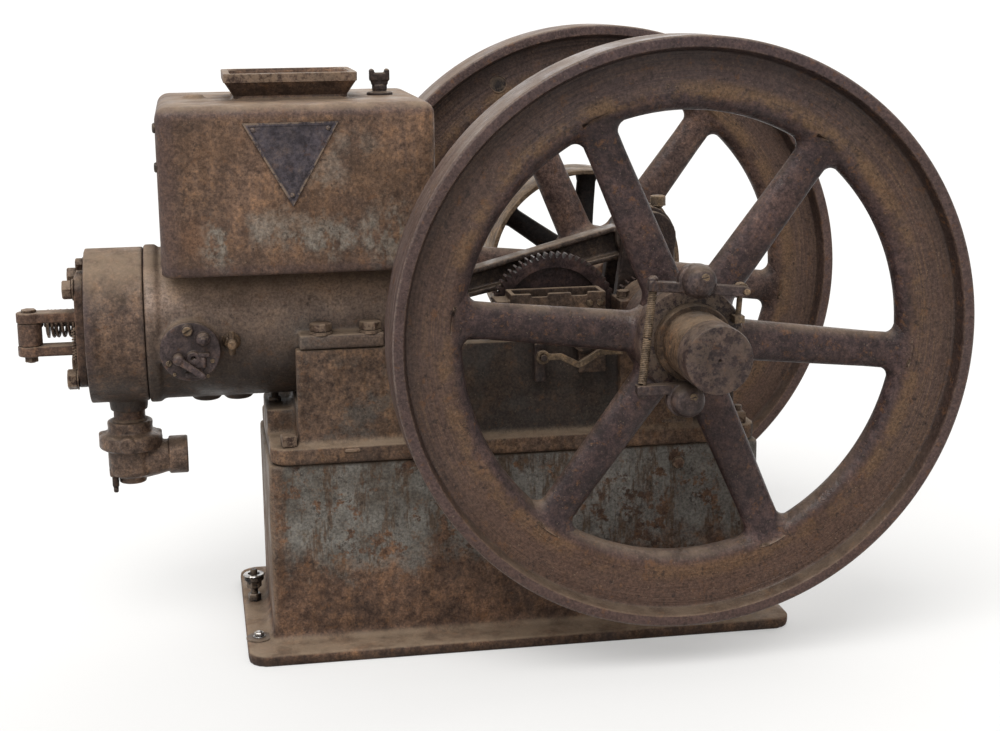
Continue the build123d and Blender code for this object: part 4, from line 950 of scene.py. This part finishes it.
def trip():
    """The igniter's trip: a short hub with a flat arm and a pin through its end."""
    front = 129.6
    x = -480
    z = 438.5
    shape = Shape()
    shape.turned((x, 0, z), NEAR, [(8, front), (8, front + 12), (7, front + 15.4), (4, front + 18),
                                   (1, front + 18)], 28)
    along = Vector((35, 0, -26)).normalized()
    above = Vector((26, 0, 35)).normalized()
    outline = [(-2, -6), (16, -4.6), (40, -4.2), (44, -3.2), (46.4, 0), (44, 3.2), (40, 4.2), (16, 4.6),
               (-2, 6)]
    shape.extruded(outline, (x, 0, z), along, above, front + 9, front + 15.4, 1.2)
    tip = Vector((x, 0, z)) + along * 40
    shape.turned(tip, NEAR, [(2.6, front + 14), (2.6, front + 16), (1.6, front + 16.6)], 16)
    fused("igniter_trip_forging", shape, 0.7, 2, 0.5, "plate_iron", ("igniter_trip",),
          body="trip_body")


def mixer():
    """The carburettor: a lidded round body with a side air pipe, and its needle below."""
    x = -556
    shape = Shape()
    profile = [(12, 229.2), (18.4, 229.4), (20, 231), (20, 238), (26, 240), (31, 243), (33.6, 248), (34, 255),
               (34, 280), (41, 281.4), (45, 284), (46, 288), (46, 297), (44.6, 301.6), (41, 304.6),
               (35, 306.4), (33, 308.4), (32.4, 314), (33, 319), (32.4, 322.6), (29, 324), (24, 324)]
    shape.turned((x, 0, 0), UP, profile, 72)
    shape.tube([(x - 4, 0, 261), (x + 16, 0, 262), (x + 34, 0, 265), (x + 46, 0, 266), (x + 57, 0, 267)],
               [26, 27.6, 27, 25, 23.5], 40)
    shape.turned((0, 0, AIR_PIPE_Z), RIGHT,
                 [(20, x), (23, x + 2), (23, -503), (24.4, -502.2), (27.6, -501), (28, -499), (28, -476),
                  (26.8, -474), (19.6, -474), (19, -475.6), (19, -503), (8, -504)], 56)
    shape.turned((x - 3, 0, 294), NEAR, [(13, 28), (12.4, 44), (10.8, 46.4), (3.4, 46.6), (2.8, 41),
                                         (0.8, 41)], 36)
    for turn, radius in ((10, 9), (170, 10), (62, 6), (235, 6), (305, 6)):
        shape.turned((x + 37 * cos(radians(turn)), 37 * sin(radians(turn)), 281.2), UP,
                     [(radius - 1.4, 0), (radius, 1.4), (radius, 22.4), (radius - 1.6, 24)], 24)
    shape.turned((-581, -8, 0), UP, [(7.6, 240.3), (8, 241.2), (8.6, 252)], 24)
    fused("mixer_brass", shape, 1.0, 3, 0.35, "mixer_metal", ("fuel_mixer",))
    neck = Shape()
    neck.turned((x, 0, 0), UP, [(27, 323.6), (26.4, 325.4), (23.4, 326.6), (22.8, 328), (22.8, 336),
                                (23, 339.6)], 56)
    shaped("mixer_nipple", neck, "brown_iron", ("mixer_pipe",), 50)
    needle = Shape()
    needle.turned((-581, -8, 0), UP, [(2.4, 215.7), (3.6, 217), (3.8, 224), (5, 226), (5, 239.7)], 24)
    needle.tube([(-581, -20, 221.5), (-581, -14, 220), (-581, -8, 219.7), (-581, -2, 220), (-581, 4, 221.5)],
                [2.9, 2.6, 3, 2.6, 2.9], 14)
    fused("mixer_needle_screw", needle, 0.6, 1, 0.5, "dark_iron", ("mixer_needle",),
          body="needle_body")


def coil(start, axis, length, radius, wire, turns, sides=9, steps=26, ends=1.0):
    """A helical spring's points; its first and last turns lie closer."""
    across, above, along = cross_axes(axis)
    count = int(turns * steps)
    path = []
    for index in range(count + 1):
        share = index / count
        turn = FULL * turns * share
        eased = share - ends * sin(2 * pi * share) / (2 * pi) * 0.35
        path.append(Vector(start) + along * (wire + (length - 2 * wire) * eased)
                    + (across * cos(turn) + above * sin(turn)) * (radius - wire))
    shape = Shape()
    shape.tube(path, wire, sides)
    return shape


def valve_gear():
    spring = coil((-663.7, 30, CYLINDER_Z), RIGHT, 42.2, 21, 2.3, 5.5)
    piece = new_object("valve_spring_coil", spring.mesh("valve_spring_coil"))
    smooth_shade(piece, 60)
    dress(piece, None, "brown_iron", ("valve_spring",))
    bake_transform(piece)
    valve = Shape()
    valve.turned((0, 30, CYLINDER_Z), RIGHT, [(3.6, -672), (5, -671), (5, -574)], 28)
    valve.turned((0, 30, CYLINDER_Z), RIGHT, [(6, -669), (15, -669), (20.4, -667.4), (21, -665.6), (21, -664),
                                              (16, -664), (6, -664)], 48)
    shaped("exhaust_valve_stem", valve, "oily_steel", ("exhaust_valve",), 35, body="valve_body")
    pin = Shape()
    pin.turned((-686, -42, 0), UP, [(5, 424.5), (7, 426), (7, 497.5)], 28)
    pin.prism((-686, -42, 0), UP, 11, 497.5, 501.4, 6, 0.8, 0.3)
    pin.prism((-686, -42, 0), UP, 10.5, 426, 434.2, 6, 1, 0.1)
    shaped("rocker_pin_bolt", pin, "brown_iron", ("rocker_pin",))
    teeth = Shape()
    for index in range(11):
        z = 430 + 4.0 * index
        teeth.block((-627.5, -66, z), (PLATE_FACE + 0.4, -60, z + 2.4), 0.6)
    teeth.block((-625, -66, 426), (PLATE_FACE + 0.4, -58, 476), 0.8)
    shaped("serrated_stop", teeth, "brown_iron")


def governor():
    """The two bars with their turned weights, posts, pins and the coil between them."""
    half = 6.75
    lugs = {}
    for side, name, pivot, climb, rise in ((1, "upper", (268, 542), 12.6, 17),
                                           (-1, "lower", (254, 414), 0, 15)):
        body = "governor_" + name + "_body"
        end = (pivot[0] - 134, pivot[1] + climb)
        along = Vector((134, 0, -climb)).normalized()
        above = Vector((climb, 0, 134)).normalized()
        shape = Shape()
        lower = [(-134, -half + 1), (-131, -half), (-4, -half), (3, -half + 0.8), (5.8, -3)]
        outline = lower + [(half, 0)] + [(u, -v) for u, v in reversed(lower)]
        shape.extruded(outline, (pivot[0], 0, pivot[1]), along, above, 347.4, 362.8, 1.6)
        weight = (pivot[0] - 66, 0, pivot[1] + rise * side)
        profile = [(17, 350.2), (21.8, 351.4), (23, 355), (23, 366), (22.2, 372), (20, 377.4), (16, 382),
                   (10, 385), (2, 386)]
        shape.turned(weight, NEAR, profile, 56)
        shape.turned((weight[0] - 5, 0, weight[2] + side), NEAR,
                     [(19, 350), (22, 351.6), (22, 361), (19.6, 362.6)], 48)
        lug = (end[0] + 8, -355, end[1])
        lugs[name] = lug
        shape.turned(lug, (0, 0, side), [(5, 4), (5, 11.6), (3.6, 13)], 20)
        shape.prism(lug, (0, 0, side), 7.4, 6, 10.6, 6, 1)
        fused("governor_weight_" + name + "_casting", shape, 1.0, 2, 0.4, "weight_iron",
              ("governor_weight_" + name,), body=body)
        dowel = Shape()
        dowel.slotted_screw((weight[0] + 3, -384.2, weight[2] + 8), NEAR, 5.4, 1.4, 0.2)
        shaped("governor_dowel_" + name, dowel, "tan_steel", body=body)
        cast_skin("governor_post_" + name + "_forging", "governor_post_" + name, 1.0, 3, 0.45,
                  "dull_steel", "tan_steel", body="crank_assembly")
    upper = Vector(lugs["upper"]) - Vector((0, 0, half - 0.2))
    lower = Vector(lugs["lower"]) + Vector((0, 0, half - 0.2))
    middle = (upper + lower) / 2
    for start, end, name in ((upper, middle, "upper"), (lower, middle, "lower")):
        along = end - start
        shape = coil(start, along, along.length, 6, 1.25, 25, 7, 14, 0.0)
        piece = new_object("governor_coil_" + name, shape.mesh("governor_coil_" + name))
        smooth_shade(piece, 60)
        dress(piece, None, "tan_steel", ("governor_spring",) if name == "upper" else ())
        "governor_" + name + "_body"
        tuple(start * MM)
        tuple(end * MM)
        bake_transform(piece)


def small_fittings():
    badge = Shape()
    for x, z in ((-366, 756), (-264, 756.5), (-315.5, 666.5)):
        badge.turned((x, 0, z), NEAR, [(3.4, 169), (3.4, 170.4), (2.4, 171.6), (0.6, 172)], 20)
    shaped("badge_rivets", badge, "slate_metal", (), 50)
    fitting = Shape()
    x = -175
    fitting.turned((x, 0, 0), UP, [(19, 788), (19, 791.6), (17.6, 793), (9, 793.4), (8, 797), (8, 809)], 40)
    fitting.prism((x, 0, 0), UP, 11.5, 795, 803, 6, 1.2, 0.2)
    fitting.block((x - 14.5, -8, 808), (x - 7.5, 8, 826), 2)
    fitting.block((x + 7.5, -8, 808), (x + 14.5, 8, 826), 2)
    fitting.block((x - 14.5, -8, 808), (x + 14.5, 8, 820.5), 2)
    fitting.block((x - 12, -7, 803), (x + 12, 7, 810), 1.4)
    fused("hopper_fork_fitting", fitting, 1.0, 3, 0.4, "dark_iron", ("hopper_fitting",))
    cup = Shape()
    pin_x = 218.1 + 25
    profile = [(6, 601), (6, 611), (8, 612), (8, 613.4), (12, 614)]
    for step in range(7):
        profile += [(12, 615 + 1.8 * step), (11.4, 615.9 + 1.8 * step)]
    cup.turned((pin_x, 0, 0), UP, profile + [(11.6, 628), (9, 629), (3, 629.3)], 40)
    shaped("grease_cup_brass", cup, "tan_steel", ("grease_cup",), 40)
    prop = Shape()
    profile = [(6, 341), (6, 343)]
    for step in range(7):
        profile += [(6, 343 + 1.7 * step), (5.3, 343.85 + 1.7 * step)]
    prop.turned((-343, 0, 0), UP, profile + [(5.8, 355.6)], 32)
    prop.prism((-343, 0, 0), UP, 10.8, 341, 347.4, 6, 1)
    shaped("cylinder_prop_screw", prop, "dark_iron", ("cylinder_prop",), 50)
    tray = Shape()
    for at_x in (104, 119):
        tray.hex_bolt((at_x, -144, 496), NEAR, 9, 4.5, 0.3)
    shaped("tray_screws", tray, "tan_steel")


def carried_over():
    """Materials for the CAD nodes that stay in view."""
    looks = {"badge_plate": "slate_metal", "cam_stud": "brown_iron", "piston": "oily_steel",
             "wrist_pin": "oily_steel", "crank_pin": "oily_steel", "crank_pinion": "gear_iron",
             "cam_gear": "gear_iron"}
    for name, piece in nodes.items():
        if not piece.hide_render:
            piece.data.materials.clear()
            piece.data.materials.append(MATERIALS[looks.get(name, "brown_iron")])


# Stage, light and camera

def seen_rays(tree):
    """1 for rays from the camera and for those that metal and glass send on, 0 for the rest."""
    rays = add_node(tree, "ShaderNodeLightPath").outputs
    seen = Value(tree, rays["Is Camera Ray"])
    return seen.maths("MAXIMUM", rays["Is Glossy Ray"]).maths("MAXIMUM", rays["Is Transmission Ray"])


def stage():
    """A pale floor, a little darker to the light that it bounces than to the camera."""
    reach = 400
    mesh = bpy.data.meshes.new("floor")
    mesh.from_pydata([(-reach, -reach, 0), (reach, -reach, 0), (reach, reach, 0), (-reach, reach, 0)],
                     [], [(0, 1, 2, 3)])
    floor = new_object("floor", mesh)
    material = bpy.data.materials.new("pale_floor")
    material.use_nodes = True
    tree = material.node_tree
    tree.nodes.clear()
    seen = seen_rays(tree)
    glow = add_node(tree, "ShaderNodeEmission", (0, (1, 0.995, 0.985, 1)), (1, seen * 0.34)).outputs[0]
    tone = add_node(tree, "ShaderNodeMix", (0, seen), (6, (0.30, 0.28, 0.26, 1)),
                    (7, (0.55, 0.545, 0.535, 1)), data_type="RGBA").outputs[2]
    flat = add_node(tree, "ShaderNodeBsdfDiffuse", (0, tone)).outputs[0]
    both = add_node(tree, "ShaderNodeAddShader", (0, flat), (1, glow)).outputs[0]
    add_node(tree, "ShaderNodeOutputMaterial", (0, both))
    floor.data.materials.append(material)


def light():
    """A white world, dimmer for the light that it gives than it looks, and three soft lamps."""
    world = bpy.data.worlds.new("studio")
    bpy.context.scene.world = world
    world.use_nodes = True
    tree = world.node_tree
    tree.nodes.clear()
    level = add_node(tree, "ShaderNodeMapRange", (0, seen_rays(tree)), (3, 0.7), (4, 1.0)).outputs[0]
    back = add_node(tree, "ShaderNodeBackground", (0, (1, 1, 1, 1)), (1, level)).outputs[0]
    add_node(tree, "ShaderNodeOutputWorld", (0, back))
    for name, direction, power, spread in (("key", (-0.45, -0.8, 1.3), 1.8, 40),
                                           ("side", (-1.0, -0.25, 0.75), 0.4, 60),
                                           ("back", (0.5, 0.9, 0.7), 0.8, 60)):
        data = bpy.data.lights.new(name, "SUN")
        data.energy = power
        data.angle = radians(spread)
        lamp = new_object(name, data)
        lamp.rotation_euler = Vector(direction).to_track_quat("Z", "Y").to_euler()


def camera():
    """The photograph's viewpoint, fitted to the wheels and the sub-base."""
    yaw = radians(9.887)
    pitch = radians(12.363)
    roll = radians(-0.633)
    place = Vector((-0.4516, -2.5799, 0.9516))
    forward = Vector((sin(yaw) * cos(pitch), cos(yaw) * cos(pitch), -sin(pitch)))
    right = Vector((cos(yaw), -sin(yaw), 0))
    up = right.cross(forward)
    across = right * cos(roll) + up * sin(roll)
    above = up * cos(roll) - right * sin(roll)
    data = bpy.data.cameras.new("photo_camera")
    data.lens = 63.56
    data.sensor_width = 36
    data.sensor_fit = "HORIZONTAL"
    data.clip_end = 2000
    piece = new_object("photo_camera", data)
    turn = Matrix((across, above, -forward)).transposed().to_4x4()
    piece.matrix_world = Matrix.Translation(place) @ turn
    bpy.context.scene.camera = piece


camera()
stage()
light()
castings()
filler_neck()
flywheels()
stub()
pulley()
bolts()
igniter()
trip()
mixer()
valve_gear()
governor()
small_fittings()
carried_over()
bpy.context.scene.view_settings.view_transform = "Standard"
